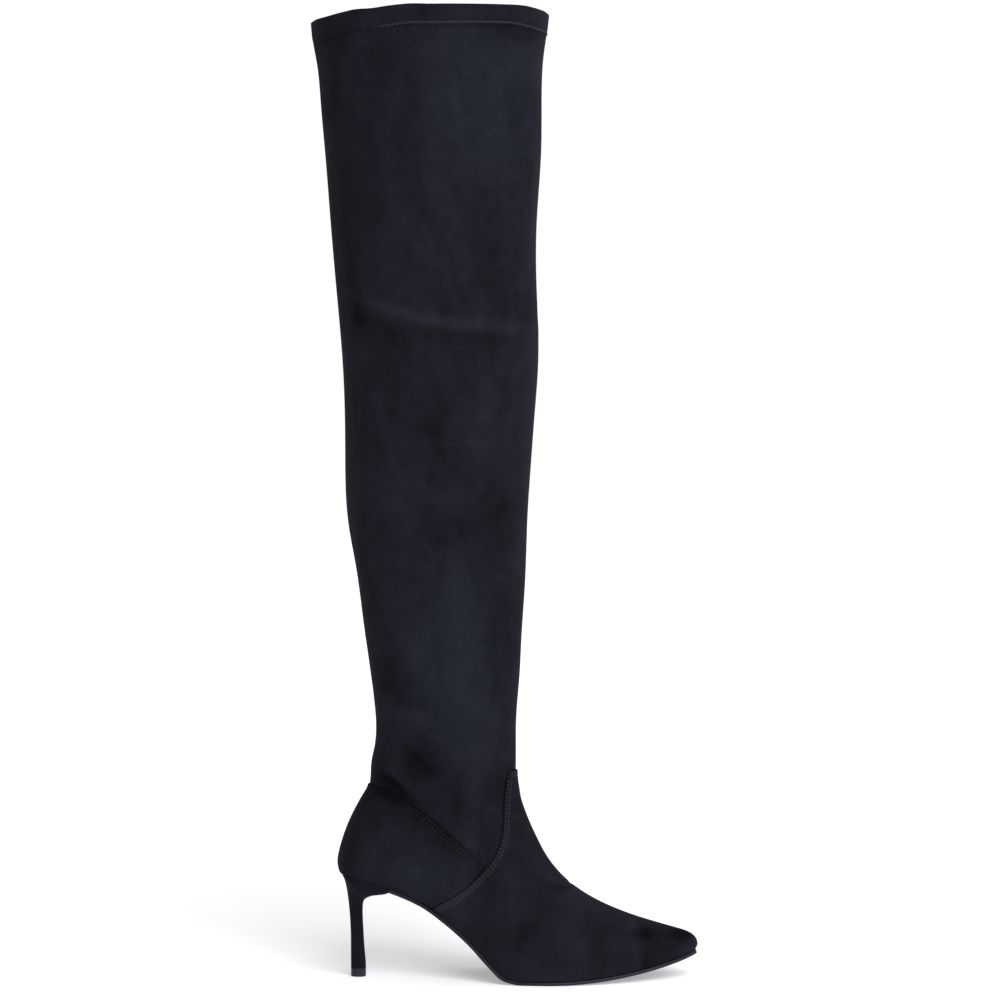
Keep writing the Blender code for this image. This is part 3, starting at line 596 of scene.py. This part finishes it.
def thick_piece(name, work, outside, inside, materials, nap, inner_material=None):
    """A closed piece between two heights over the form, each a function of points. inner_material gives
    the material's place in the list for the inner face at each of an array of points."""
    layer = work.verts.layers.float_vector["form_normal"]
    work.verts.ensure_lookup_table()
    work.verts.index_update()
    points = coordinates(work)
    normals = np.array([v[layer][:] for v in work.verts])
    normals /= np.maximum(np.linalg.norm(normals, axis=1, keepdims=True), 1e-9)
    count = len(points)
    skins = np.vstack([points + normals * height(points)[:, None] for height in (outside, inside)])
    outer_faces = [[v.index for v in face.verts][::-1] for face in work.faces]
    inner_faces = [[i + count for i in reversed(ids)] for ids in outer_faces]
    rim = []
    for edge in work.edges:
        if len(edge.link_faces) == 1:
            loop = edge.link_loops[0]
            a, b = loop.vert.index, loop.link_loop_next.vert.index
            rim.append([a, b, b + count, a + count])
    work.free()
    made = mesh_object(name, skins, outer_faces + inner_faces + rim, materials)
    if inner_material is not None:
        middles = np.array([points[ids].mean(axis=0) for ids in outer_faces])
        choice = np.zeros(len(made.data.polygons), int)
        choice[len(outer_faces) : 2 * len(outer_faces)] = inner_material(middles)
        made.data.polygons.foreach_set("material_index", choice)
    # Each point keeps its nap tone with painted light and shade, and its painted bluish light
    for kind, values in zip(NAP_VALUES, (nap(points), patch_light(points, BLUE_LIGHT_PATCHES))):
        attribute = made.data.attributes.new(kind, "FLOAT", "POINT")
        attribute.data.foreach_set("value", np.tile(values, 2).astype(np.float32))
    return made


def link(name, data):
    """A new object in the scene."""
    made = bpy.data.objects.new(name, data)
    bpy.context.scene.collection.objects.link(made)
    return made


def shade(mesh, materials, sharp):
    """Gives a mesh its materials, smooth but for edges sharper than an angle in degrees."""
    mesh.materials.clear()
    for finish in materials:
        mesh.materials.append(finish)
    mesh.shade_smooth()
    mesh.set_sharp_from_angle(angle=math.radians(sharp))


def mesh_object(name, points, faces, materials, sharp=60):
    mesh = bpy.data.meshes.new(name)
    mesh.from_pydata(np.asarray(points).tolist(), [], [list(map(int, f)) for f in faces])
    mesh.validate()
    shade(mesh, materials, sharp)
    made = link(name, mesh)
    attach(made, "root")
    return made


def tube_faces(rings, columns, first=0):
    """Faces of a tube of rings, closed at both ends, whose points are counted from first."""
    last = first + (rings - 1) * columns
    faces = []
    for start in range(first, last, columns):
        for j in range(columns):
            a, b = start + j, start + (j + 1) % columns
            faces.append((a, b, b + columns, a + columns))
    return [*faces, range(first, first + columns)[::-1], range(last, last + columns)]


def over_sole(points):
    return points[:, 2] - sole_line(points[:, 0])


def over_rest(points):
    """Height over the sole's and the heel's upper faces, less the gap to them."""
    return over_sole(points) + CLEARANCE - SNUG


def edge_round(inset, radius):
    """From 0 at an edge to 1 a radius inside it, along a quarter circle."""
    share = np.clip(inset / radius, 0, 1)
    return np.sqrt(1 - (1 - share) ** 2)


def stitch_dents(inset, rows):
    return -sum(band(inset, STITCH_DENT, row, DENT_HALF) for row in rows)


def collar_rise(points):
    """How far the collar's edge is above its level slant. The inner side waves the other way."""
    waves = np.array(COLLAR_WAVES)
    outer = smooth_step(0.012, -0.012, points[:, 1])
    return steady(waves[:, 0], waves[:, 1], points[:, 0]) * (outer - 0.7 * (1 - outer))


def below_collar(points):
    """Distance under the collar's slanting, softly waving edge."""
    depth = LOFT[-1, 3] - LOFT[-1, 1]
    edge = COLLAR_HEIGHT + (points[:, 0] - COLLAR_MIDDLE) / depth * COLLAR_TILT
    return edge + collar_rise(points) - points[:, 2]


def back_seam(points):
    """The plain seam up the back of the shaft, a shallow groove between two soft ridges."""
    on_back = (points[:, 0] < SEAM_REACH) * smooth_step(*SEAM_FOOT, points[:, 2])
    return (band(points[:, 1], *SEAM_GROOVE) + band(np.abs(points[:, 1]), *SEAM_RIDGE)) * on_back


def overlay_gap(points):
    """How close, from 0 to 1, points of the shaft are to the edges of the overlays."""
    outside = np.minimum(np.abs(vamp_inset(points)), np.abs(counter_inset(points)))
    return band(outside, 1, 0, EDGE_HALF)


def hem_depth(points):
    """Distance under the collar's edge, less what the hem sags towards its back and front."""
    x = points[:, 0]
    return below_collar(points) - ramp(x, *HEM_SAG_BACK) - ramp(x, *HEM_SAG_FRONT)


def shaft_relief(points):
    depth = hem_depth(points)
    hem = ramp(depth, HEM_STEP, HEM_HEIGHT + HEM_BEND, HEM_HEIGHT - HEM_BEND) + band(depth, *HEM_GROOVE)
    return fold_height(points) + back_seam(points) - EDGE_SINK * overlay_gap(points) + hem


def overlay_relief(inset, edge):
    """Height of an overlay's face, rounded at its edge and a little fuller further in."""
    return CLEARANCE + edge * edge_round(inset, edge) + ramp(inset, OVERLAY_RISE, edge, RISE_REACH)


def vamp_relief(points):
    inset = vamp_inset(points)
    return overlay_relief(inset, VAMP_EDGE) + stitch_dents(inset, VAMP_ROWS) + fold_height(points)


def counter_relief(points):
    relief = overlay_relief(counter_inset(points), COUNTER_EDGE)
    return relief + stitch_dents(counter_depth(points), COUNTER_ROWS)


def overlay_inset(points):
    """Distance inside the nearer overlay."""
    return np.maximum(vamp_inset(points), counter_inset(points))


# Painted shade beside the overlays and under the hem, with the nap's tone and the folds' painted light and
# shade
def shaft_nap_and_shading(points):
    hem = band(hem_depth(points) - HEM_HEIGHT, *HEM_SHADE)
    return nap_and_fold_shading(points) - EDGE_SHADE * overlay_gap(points) - hem


# Nap rubbed lighter along the vamp's edge, painted shade at its very edge and in the stitch dents, with the
# nap's tone and the folds' painted light and shade
def vamp_nap_and_shading(points):
    inset = vamp_inset(points)
    rubbed = band(inset, VAMP_RUB + band(points[:, 2], *LOW_RUB), *RUB_BAND)
    dents = DENT_SHADE * stitch_dents(inset, VAMP_ROWS)
    return nap_and_fold_shading(points) + rubbed - band(inset, *VAMP_SHADE) + dents


# Painted shade along the counter's edges, just under its top edge and in the stitch dents, with the nap's
# tone and the folds' painted light and shade
def counter_nap_and_shading(points):
    depth = counter_depth(points)
    shadow = band(counter_inset(points), *COUNTER_SHADE) + band(depth, *COUNTER_DUSK)
    return nap_and_fold_shading(points) - shadow + DENT_SHADE * stitch_dents(depth, COUNTER_ROWS)


def feed(target, value):
    """Gives a socket a number, a vector, a colour or another socket's value."""
    if isinstance(value, bpy.types.NodeSocket):
        target.id_data.links.new(value, target)
    elif target.type == "RGBA":
        target.default_value = (*value, 1)
    else:
        target.default_value = value


def add(tree, kind, **settings):
    """A new shader node with its settings and what its sockets are fed."""
    node = tree.nodes.new("ShaderNode" + kind)
    for key, value in settings.items():
        if key in node.inputs:
            feed(node.inputs[key], value)
        else:
            setattr(node, key, value)
    return node


def new_material(name):
    """A material, its nodes and the socket that gives places on the object."""
    found = bpy.data.materials.new(name)
    found.use_nodes = True
    tree = found.node_tree
    return found, tree, add(tree, "TexCoord").outputs["Object"]


def finished(material, sockets):
    """The material, with its shader's sockets fed."""
    shader = material.node_tree.nodes["Principled BSDF"]
    for key, value in sockets.items():
        feed(shader.inputs[key], value)
    return material


def noise(place, scale, detail, roughness=0.5, distortion=0.0):
    settings = {"Scale": scale, "Detail": detail, "Roughness": roughness, "Distortion": distortion}
    return add(place.id_data, "TexNoise", Vector=place, **settings).outputs["Fac"]


def maths(operation, first, second):
    """A Math node on a socket and a second socket or number."""
    node = add(first.id_data, "Math", operation=operation)
    feed(node.inputs[0], first)
    feed(node.inputs[1], second)
    return node.outputs[0]


def plus_part(total, part, weight):
    """A socket's value plus a weight of another's."""
    return maths("ADD", total, maths("MULTIPLY", part, weight))


def blend(factor, dark, light):
    """A colour between two colours or sockets, by a factor's socket."""
    mix = add(factor.id_data, "Mix", data_type="RGBA")
    for index, value in ((0, factor), (6, dark), (7, light)):
        feed(mix.inputs[index], value)
    return mix.outputs[2]


def map_range(value, low, high, to_low=0.0, to_high=1.0):
    """A value's socket between low and high, moved to another range."""
    limits = {"From Min": low, "From Max": high, "To Min": to_low, "To Max": to_high}
    return add(value.id_data, "MapRange", Value=value, **limits).outputs["Result"]


def emboss(height, strength, distance):
    """Normals bumped by a height's socket."""
    settings = {"Height": height, "Strength": strength, "Distance": distance}
    return add(height.id_data, "Bump", **settings).outputs["Normal"]


def suede(name, dark, light):
    """Stretch suede: broad brushed areas, small mottles, short fibres, and sheen at grazing angles, with the
    painted light and shade and the painted bluish light that each skin keeps at its points.
    """
    found, tree, place = new_material(name)
    stretched = add(tree, "Mapping", Vector=place, Scale=(1.0, 1.0, 0.45)).outputs["Vector"]
    brushed = noise(stretched, 24, 3, 0.5, 0.9)
    mottle = noise(place, 95, 3, 0.5, 0.3)
    fleck = noise(place, 480, 2, 0.6)
    fibre = noise(place, 1500, 3, 0.7)
    # Painted light and shade, and painted bluish light, kept at the skin's points
    nap, blue = (add(tree, "Attribute", attribute_name=key).outputs["Fac"] for key in NAP_VALUES)
    for part, weight in ((brushed, 2.4), (mottle, 1.0), (fleck, 0.9), (fibre, 1.2)):
        nap = plus_part(nap, part, weight)
    # Bluer light colour where the bluish light is painted
    tint = blend(blue, light, (light[0] * 0.86, light[1] * 1.02, light[2] * 1.18))
    return finished(found, {
        "Base Color": blend(map_range(nap, 1.68, 3.80), dark, tint),
        "Roughness": 0.95,
        "Specular IOR Level": 0.06,
        "Sheen Weight": 0.025,
        "Sheen Roughness": 0.40,
        "Sheen Tint": (0.60, 0.58, 0.85),
        "Normal": emboss(plus_part(fibre, mottle, 0.6), 0.55, 0.00035),
    })


def thread(name, dark, light):
    """Twisted polyester thread."""
    found, _, place = new_material(name)
    ply = noise(place, 2600, 1)
    return finished(found, {
        "Base Color": blend(ply, dark, light),
        "Roughness": 0.60,
        "Specular IOR Level": 0.25,
        "Normal": emboss(ply, 0.4, 0.0001),
    })


def lining_cloth(name):
    """Brushed knit lining."""
    found, tree, place = new_material(name)
    soft = noise(place, 300, 3)
    ribs = add(tree, "TexWave", Vector=place, Scale=420.0, Distortion=0.6, Detail=1.0)
    return finished(found, {
        "Base Color": blend(soft, (0.016, 0.016, 0.019), (0.042, 0.041, 0.046)),
        "Roughness": 0.9,
        "Sheen Weight": 0.12,
        "Normal": emboss(plus_part(soft, ribs.outputs["Fac"], 0.5), 0.4, 0.0003),
    })


def sole_finish(name):
    """Dark sole with a polished edge, fine grain and faint scuffs underneath, painted darker towards the
    heel as painted shade along the arch's edge.
    """
    found, tree, place = new_material(name)
    grain = noise(place, 900, 4, 0.6)
    cloud = noise(place, 45, 4, 0.6, 0.4)
    long_way = add(tree, "Mapping", Vector=place, Scale=(0.12, 1.0, 1.0)).outputs["Vector"]
    scuff = noise(long_way, 700, 5, 0.75)
    axes = add(tree, "SeparateXYZ", Vector=place)
    # Painted shade: the sole's colour is painted darker towards the heel, along the arch
    forward = map_range(axes.outputs["X"], 0.050, 0.130, 0.1, 1.0)
    return finished(found, {
        "Base Color": blend(maths("MULTIPLY", cloud, forward), (0.004, 0.004, 0.007), (0.020, 0.020, 0.036)),
        "Roughness": map_range(scuff, 0.35, 0.70, 0.38, 0.56),
        "Specular IOR Level": 0.20,
        "Normal": emboss(plus_part(grain, scuff, 0.5), 0.18, 0.00015),
    })


def tip_finish(name):
    """Grey-blue moulded plastic with a satin face and small scuffs."""
    found, _, place = new_material(name)
    return finished(found, {
        "Base Color": blend(noise(place, 160, 3), (0.006, 0.008, 0.015), (0.013, 0.016, 0.029)),
        "Roughness": 0.48,
        "Specular IOR Level": 0.3,
        "Normal": emboss(noise(place, 1800, 3), 0.25, 0.0001),
    })


def floor_finish(name):
    found, _, place = new_material(name)
    colour = blend(noise(place, 3, 2), (0.93, 0.93, 0.94), (0.95, 0.95, 0.95))
    return finished(found, {
        "Base Color": colour,
        "Emission Color": colour,
        "Emission Strength": 0.37,
        "Roughness": 0.8,
        "Specular IOR Level": 0.1,
    })


def spaced(*spans):
    """Places along the boot from (start, end, step) spans."""
    found = []
    for start, end, step in spans:
        count = max(2, int(round((end - start) / step)) + 1)
        found.extend(np.linspace(start, end, count)[:-1])
    return np.array([*found, spans[-1][1]])


def upper_skin(finish, cloth):
    """Suede skin from toe to collar with its folds, turned hem and back seam, and cloth inside it."""
    hem_top = COLLAR - HEM_HEIGHT * 1.25
    knee = COLLAR - (COLLAR_HEIGHT - KNEE_FOLD)
    places = spaced(
        (0, WAIST, 0.0040),
        (WAIST, ANKLE + 0.02, 0.0011),
        (ANKLE + 0.02, knee - 0.03, 0.0046),
        (knee - 0.03, knee + 0.035, 0.0022),
        (knee + 0.035, hem_top, 0.0060),
        (hem_top, COLLAR, 0.0008),
    )
    work = grid_mesh(places, 164)
    points = coordinates(work)
    lifts = collar_rise(points) * smooth_step(0.045, 0.004, below_collar(points))
    for vert, lift in zip(work.verts, lifts):
        vert.co.z += lift
    split_along(work, over_sole, (0.0,))
    keep_where(work, over_sole)
    split_along(work, overlay_inset, (-0.0024, -0.0012, -0.0004, 0.0012))
    roll = HEM_WALL / 2
    bend = 0.0005

    def turned(under):
        return roll * (1 - edge_round(under, roll))

    def outside(points):
        return shaft_relief(points) - turned(below_collar(points))

    def inside(points):
        under = below_collar(points)
        hem = smooth_step(HEM_HEIGHT + bend, HEM_HEIGHT - bend, under)
        depth = SHAFT_WALL + hem * (HEM_WALL - SHAFT_WALL)
        return turned(under) * hem - depth + fold_height(points)

    def inner_material(middles):
        return np.where(below_collar(middles) < HEM_HEIGHT, 0, 1)

    return thick_piece("upper_skin", work, outside, inside, [finish, cloth], shaft_nap_and_shading, inner_material)


def overlay_skin(name, places, inset, edge, levels, relief, finish, nap):
    """An overlay with a rounded edge, cut along its edge and the sole line, and cut finer at levels."""
    work = grid_mesh(places, 200)
    split_along(work, over_rest, (0.0, 0.0006))
    split_along(work, inset, (*[edge * share for share in (0.0, 0.06, 0.22, 0.5, 1.0)], *levels))
    keep_where(work, over_rest)
    keep_where(work, inset)
    return thick_piece(name, work, relief, lambda points: np.full(len(points), CLEARANCE), [finish], nap)


def vamp_skin(finish):
    """Vamp with rounded, double-stitched edges and a tab at the front of the ankle."""
    places = spaced((0, 0.010, 0.0006), (0.010, WAIST, 0.0014), (WAIST, ANKLE + 0.004, 0.0010))
    levels = (0.0016, 0.0028, 0.0040, 0.0052)
    return overlay_skin("vamp_skin", places, vamp_inset, VAMP_EDGE, levels, vamp_relief, finish, vamp_nap_and_shading)


def counter_skin(finish):
    """Counter with a rounded, double-stitched top edge, lapped by the vamp in front."""
    places = spaced((BALL, ANKLE, 0.0011))
    levels = (0.0015, 0.0025, 0.0035, 0.0047)
    return overlay_skin(
        "counter_skin", places, counter_inset, COUNTER_EDGE, levels, counter_relief, finish, counter_nap_and_shading
    )


def tree_of(*pieces):
    points, faces = [], []
    for piece in pieces:
        first = len(points)
        points.extend(v.co[:] for v in piece.data.vertices)
        faces.extend([first + i for i in p.vertices] for p in piece.data.polygons)
    return BVHTree.FromPolygons(points, faces)


def cast(tree, rays):
    """Points and normals where rays, each a start and a way, meet a piece's outer skin."""
    found = []
    for start, way in rays:
        spot, normal, _, _ = tree.ray_cast(Vector(start), Vector(way))
        if spot is not None:
            found.append((np.array(spot), np.array(normal)))
    return found


def seam_path(tree, line, side):
    """A side-view line as points and normals on one side of the boot."""
    return cast(tree, [((x, side * RAY, z), (0, -side, 0)) for x, z in line])


def shifted(line, distance):
    """A side-view line moved to the right of its direction."""
    way = np.gradient(line, axis=0)
    way /= np.linalg.norm(way, axis=1, keepdims=True)
    return line + distance * np.column_stack([way[:, 1], -way[:, 0]])


def resample(path, pitch):
    """Points and normals at equal steps along a path."""
    points, normals = np.array(path).swapaxes(0, 1)
    travel = np.concatenate(([0], np.cumsum(np.linalg.norm(np.diff(points, axis=0), axis=1))))
    at = np.arange(pitch / 2, travel[-1], pitch)
    spots, ups = (np.column_stack([np.interp(at, travel, k) for k in part.T]) for part in (points, normals))
    return spots, ups / np.linalg.norm(ups, axis=1, keepdims=True)


def wobble(k):
    """An uneven number between -1 and 1 for the k-th of a row."""
    return math.sin(12.9898 * k) * math.sin(4.1414 * k + 1.3)


def stitch_mesh(name, finish, stitches):
    """Stitches as one piece, round in section and dipping in at both ends. Each is given by its ends, the
    way up and how many radii deep it lies in the nap."""
    around, along = 6, 5
    points, faces = [], []
    for start, end, ups, sunk in stitches:
        faces.extend(tube_faces(along, around, len(points)))
        way = (end - start) / np.linalg.norm(end - start)
        up = ups - way * (ups @ way)
        up /= np.linalg.norm(up)
        across = np.cross(way, up)
        for s in np.linspace(0, 1, along):
            swell = math.sin(math.pi * (0.12 + 0.76 * s))
            middle = start + (end - start) * s + up * THREAD_RADIUS * (0.9 * swell - 0.35 - sunk)
            radius = THREAD_RADIUS * (0.55 + 0.45 * swell)
            for turn in np.linspace(0, 2 * math.pi, around, endpoint=False):
                points.append(middle + (math.cos(turn) * up * 0.8 + math.sin(turn) * across) * radius)
    return mesh_object(name, points, faces, [finish])


def straight_row(path, sinking=(0, 0, 1)):
    """Stitches along a path, each covering its share of the pitch. sinking says how many radii deeper
    they lie, from one x to another."""
    spots, ups = resample(path, STITCH_PITCH)
    found = []
    for k in range(len(spots) - 1):
        way = (spots[k + 1] - spots[k]) * STITCH_SHARE * (1 + 0.2 * wobble(k)) / 2
        across = np.cross(way, ups[k])
        spot = spots[k] + across / np.linalg.norm(across) * THREAD_RADIUS * 0.3 * wobble(k + 0.5)
        sunk = STITCH_SUNK + 0.12 * wobble(2 * k) + ramp(spot[0], *sinking)
        found.append((spot - way, spot + way, ups[k], sunk))
    return found


def vamp_stitches(finish, vamp):
    """Double rows along the vamp's side seams and across its tab."""
    stitches = []
    tree = tree_of(vamp)
    above = VAMP_SEAM[-1] + (VAMP_SEAM[-1] - VAMP_SEAM[-2]) * np.arange(1, 5)[:, None]
    corner, sole_gap = 0.001, 0.004
    for inset in VAMP_ROWS:
        top = INSTEP_HEIGHT - inset
        line = shifted(np.vstack([VAMP_SEAM, above]), inset)
        line = line[line[:, 1] < top - corner]
        line = line[line[:, 1] > sole_line(line[:, 0]) + sole_gap]
        sides = [seam_path(tree, line, side) for side in (-1, 1)]
        for path in sides:
            stitches += straight_row(path)
        reach = min(abs(path[-1][0][1]) for path in sides) - corner
        rays = [((RAY, y, top), (-1, 0, 0)) for y in np.linspace(-reach, reach, 60)]
        stitches += straight_row(cast(tree, rays))
    return stitch_mesh("vamp_stitches", finish, stitches)


def counter_stitches(finish, counter):
    """Double row along the counter's top edge, sunk in the nap towards the back."""
    stitches = []
    tree = tree_of(counter)
    seam_gap, back_half = 0.0012, 0.010
    for inset in COUNTER_ROWS:
        line = shifted(COUNTER_SEAM, -inset)
        line = line[side_distance(line[:, [0, 0, 1]], VAMP_SEAM) < -seam_gap]
        sides = [seam_path(tree, line, side) for side in (-1, 1)]
        outer, inner = ([p for p in path if abs(p[0][1]) > back_half] for path in sides)
        height = outer[-1][0][2]
        back = cast(tree, [((-RAY, y, height), (1, 0, 0)) for y in np.linspace(-back_half, back_half, 40)])
        stitches += straight_row([*outer, *back, *reversed(inner)], COUNTER_SINK)
    return stitch_mesh("counter_stitches", finish, stitches)


def hem_stitches(finish, upper):
    """One zigzag row round the hem, sunk in the nap towards the back."""
    rays = []
    for turn in np.linspace(0, 2 * math.pi, 400):
        way = np.array((math.cos(turn), math.sin(turn), 0))
        rim = (COLLAR_MIDDLE, 0, COLLAR_HEIGHT) + way * (COLLAR_DEPTH / 2, COLLAR_WIDTH / 2, 0)
        z = COLLAR_HEIGHT - HEM_ROW + hem_depth(rim[None])[0]
        rays.append(((COLLAR_MIDDLE, 0, z) + way * RAY, -way))
    spots, ups = resample(cast(tree_of(upper), rays), ZIGZAG_PITCH / 2)
    stitches = []
    height = np.array((0, 0, ZIGZAG_HEIGHT / 2))
    for k in range(len(spots) - 1):
        sign = 1 if k % 2 else -1
        middle = (spots[k] + spots[k + 1]) / 2
        half = ((spots[k + 1] - spots[k]) / 2 + height * sign) * ZIGZAG_SHARE * (1 + 0.1 * wobble(k))
        sunk = ZIGZAG_SUNK + 0.4 * wobble(2 * k) + ramp(middle[0], *HEM_SINK)
        stitches.append((middle - half, middle + half, ups[k], sunk))
    return stitch_mesh("hem_stitches", finish, stitches)


def feather(x_values):
    """Half widths, outer and inner, of the boot's skin at the sole line, at each x, and the x it spans."""
    columns = 192
    points, normals = form_grid(ANKLE * np.linspace(0, 1, 500) ** 2, columns)
    skin = points + normals * (CLEARANCE + OVERLAY_WALL)
    found = []
    for way in (1, -1):
        xs, ys = [], []
        for path in skin[:, [way * column for column in range(columns // 2 + 1)]]:
            over = over_sole(path)
            crossings = np.flatnonzero((over[:-1] <= 0) & (over[1:] > 0))
            if not len(crossings):
                continue
            i = crossings[0]
            share = over[i] / (over[i] - over[i + 1])
            place = path[i] + share * (path[i + 1] - path[i])
            xs.append(place[0])
            ys.append(abs(place[1]))
        order = np.argsort(xs)
        found.append((np.array(xs)[order], np.array(ys)[order]))
    ends = max(xs[0] for xs, _ in found), min(xs[-1] for xs, _ in found)
    outer, inner = (np.interp(np.clip(x_values, *ends), xs, ys) for xs, ys in found)
    return outer, inner, ends


def sole_plate(finish):
    """Thin sole with a rounded, polished edge."""
    start = foot_x(0) + BREAST_REACH + SNUG
    tip = feather([start])[2][1]
    nose = 0.004
    xs = np.concatenate([np.arange(start, tip - nose, 0.0015), tip - nose * np.linspace(1, 0, 16)[1:] ** 2])
    outer, inner, _ = feather(xs)
    swell = SOLE_MARGIN * np.clip((xs - start) / (foot_x(TREAD_START) - start), 0, 1)
    narrowing = -np.gradient((outer + inner) / 2, xs)
    forward = np.hypot(narrowing, 1)
    outer += swell / forward
    inner += swell / forward
    xs = xs + swell * narrowing / forward
    turn = np.linspace(0, math.pi / 2, 5)
    rows = []
    for x, z, (dx, dz), out, in_ in zip(xs, sole_line(xs), square_to_sole(xs), outer, inner):
        way = np.array((dx, 0, dz))
        top = (x, 0, z) + way * CLEARANCE
        radius = min(SOLE_EDGE_ROUND, out / 2, in_ / 2)
        small = radius * 0.4
        edge = [(small, 0.0), (0.0, small)]
        edge += [(radius * (1 - math.cos(a)), SOLE_WALL - radius * (1 - math.sin(a))) for a in turn]
        width = in_ + out - 2 * radius
        outline = [(inset - out, depth) for inset, depth in edge]
        outline += [(radius - out + width * s, SOLE_WALL) for s in (0.08, 0.25, 0.5, 0.75, 0.92)]
        outline += [(in_ - inset, depth) for inset, depth in reversed(edge)]
        rows.append([top + way * depth + (0, y, 0) for y, depth in outline])
    faces = tube_faces(len(rows), len(rows[0]))
    return mesh_object("sole_plate", np.concatenate(rows), faces, [finish], sharp=50)


def fit_to_seat(points, columns, lip):
    """Moves a heel's points so that its top, the last ring, follows the boot's outline at the seat."""
    top = points[-columns:]
    order = np.argsort(top[:, 0])
    rim = np.interp(points[:, 0], top[order, 0], np.abs(top[order, 1]))
    near = smooth_step(0.015, 0.001, sole_line(points[:, 0]) - points[:, 2])
    _, _, ends = feather([lip])
    back = top[:, 0].min()
    moved = points.copy()
    moved[:, 0] -= (back - ends[0]) * near * np.clip((lip - points[:, 0]) / (lip - back), 0, 1)
    outer, inner, _ = feather(moved[:, 0])
    share = np.clip(np.abs(points[:, 1]) / np.maximum(rim, 1e-5), 0, 1)
    goal = np.where(points[:, 1] < 0, -outer, inner) * share
    moved[:, 1] += (goal - points[:, 1]) * near
    return moved


def covered_heel(finish):
    """Heel covered in suede, up to the seat and square at its front lip."""
    outer, inner, _ = feather([foot_x(SEAT_PLACE)])
    seat_width = float(outer[0] + inner[0]) + SOLE_MARGIN
    foot = TIP_HEIGHT + CLEARANCE
    stem_back, stem_front = -STEM_BACK * STEM_DEPTH, STEM_DEPTH / 2
    lip = foot_x(0) + BREAST_REACH
    rows = np.array(HEEL_BLOCK_ROWS)
    at = np.linspace(0, len(rows) - 1, 90)
    columns = 72
    rings = []
    for row in np.column_stack([spline(np.arange(len(rows)), column, at) for column in rows.T]):
        back, back_up, front, front_up, width, back_n, front_n = row
        half = (STEM_WIDTH + width * (seat_width - STEM_WIDTH)) / 2
        back_end = stem_back + back * (foot_x(0) - stem_back), foot + back_up * (SEAT_HEIGHT - foot)
        front_end = stem_front + front * (lip - stem_front), foot + front_up * (SEAT_HEIGHT - foot)
        rings.append(ring((*back_end, *front_end, half, half, 0.5, back_n, front_n), columns))
    points = fit_to_seat(np.concatenate(rings), columns, lip)
    seat = sole_line(np.minimum(points[:, 0], lip)) - CLEARANCE
    points[:, 2] = np.minimum(points[:, 2], seat)
    fall = square_to_sole(np.array([lip]))[0]
    depth = (sole_line(np.array([lip]))[0] - points[:, 2]) / -fall[1]
    points[:, 0] = np.minimum(points[:, 0], lip + np.clip(depth, 0, LIP_DEPTH) * fall[0])
    return mesh_object("covered_heel", points, tube_faces(len(at), columns), [finish], sharp=50)


def dress_node(name, finish):
    """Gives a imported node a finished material."""
    shade(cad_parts[name].data, [finish], 35)


def soft_light(name, direction, strength, spread):
    """A far, broad light from a direction, whose shadows blur over its spread in degrees."""
    data = bpy.data.lights.new(name, "SUN")
    data.energy = strength
    data.angle = math.radians(spread)
    link(name, data).rotation_euler = Vector(direction).to_track_quat("Z", "Y").to_euler()


def floor_sheet():
    mesh = bpy.data.meshes.new("floor")
    corners = [(x * FLOOR_REACH, y * FLOOR_REACH, 0) for x, y in ((-1, -1), (1, -1), (1, 1), (-1, 1))]
    mesh.from_pydata(corners, [], [(0, 1, 2, 3)])
    mesh.materials.append(floor_finish("floor_paper"))
    link("floor", mesh)


def surroundings():
    """White behind the boot, and soft pale light from all round."""
    world = bpy.data.worlds.new("studio")
    world.use_nodes = True
    tree = world.node_tree
    soft = tree.nodes["Background"]
    feed(soft.inputs["Color"], (0.94, 0.96, 1.0))
    feed(soft.inputs["Strength"], 0.25)
    backdrop = add(tree, "Background", Color=(1, 1, 1), Strength=1.05)
    seen = add(tree, "LightPath").outputs["Is Camera Ray"]
    choice = add(tree, "MixShader")
    for target, source in zip(choice.inputs, (seen, soft.outputs[0], backdrop.outputs[0])):
        feed(target, source)
    feed(tree.nodes["World Output"].inputs["Surface"], choice.outputs[0])
    bpy.context.scene.world = world


def photo_camera():
    camera = link("camera", bpy.data.cameras.new("camera"))
    camera.location = CAMERA_PLACE
    camera.rotation_euler = (math.pi / 2, 0, 0)
    camera.data.sensor_width = SENSOR
    camera.data.lens = SENSOR * -CAMERA_PLACE[1] / VIEW_WIDTH
    camera.data.shift_y = VIEW_SHIFT
    camera.data.clip_end = 40
    bpy.context.scene.camera = camera


def studio():
    """Pale floor, white surroundings, soft lights and the photograph's camera."""
    floor_sheet()
    surroundings()
    soft_light("key", (0.33, -0.82, 0.77), 2.0, 44)
    soft_light("side", (0.95, -0.15, 0.30), 1.6, 125)
    photo_camera()
    bpy.context.scene.view_settings.view_transform = "Standard"


def main():
    studio()
    nap = suede("stretch_suede", (0.0026, 0.0027, 0.0037), (0.0165, 0.0170, 0.0250))
    heel_nap = suede("heel_suede", (0.0022, 0.0022, 0.0034), (0.0138, 0.0140, 0.0225))
    vamp_thread = thread("vamp_thread", (0.012, 0.012, 0.017), (0.036, 0.036, 0.048))
    # The counter's rows take a darker copy of the same thread: painted shade that dims them
    counter_thread_shaded = thread("counter_thread_shaded", (0.005, 0.005, 0.007), (0.015, 0.015, 0.020))
    hem_thread = thread("hem_thread", (0.012, 0.013, 0.020), (0.036, 0.039, 0.060))
    cloth = lining_cloth("knit_lining")
    upper = upper_skin(nap, cloth)
    vamp = vamp_skin(nap)
    counter = counter_skin(nap)
    sole = sole_plate(sole_finish("polished_sole"))
    heel = covered_heel(heel_nap)
    seams = [vamp_stitches(vamp_thread, vamp), counter_stitches(counter_thread_shaded, counter)]
    hem = hem_stitches(hem_thread, upper)
    bodies = {"upper": upper, "vamp": vamp, "counter": counter, "outsole": sole, "heel": heel}
    for node, piece in bodies.items():
        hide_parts(node)
    dress_node("insole", cloth)
    dress_node("top_lift", tip_finish("tip_plastic"))


main()
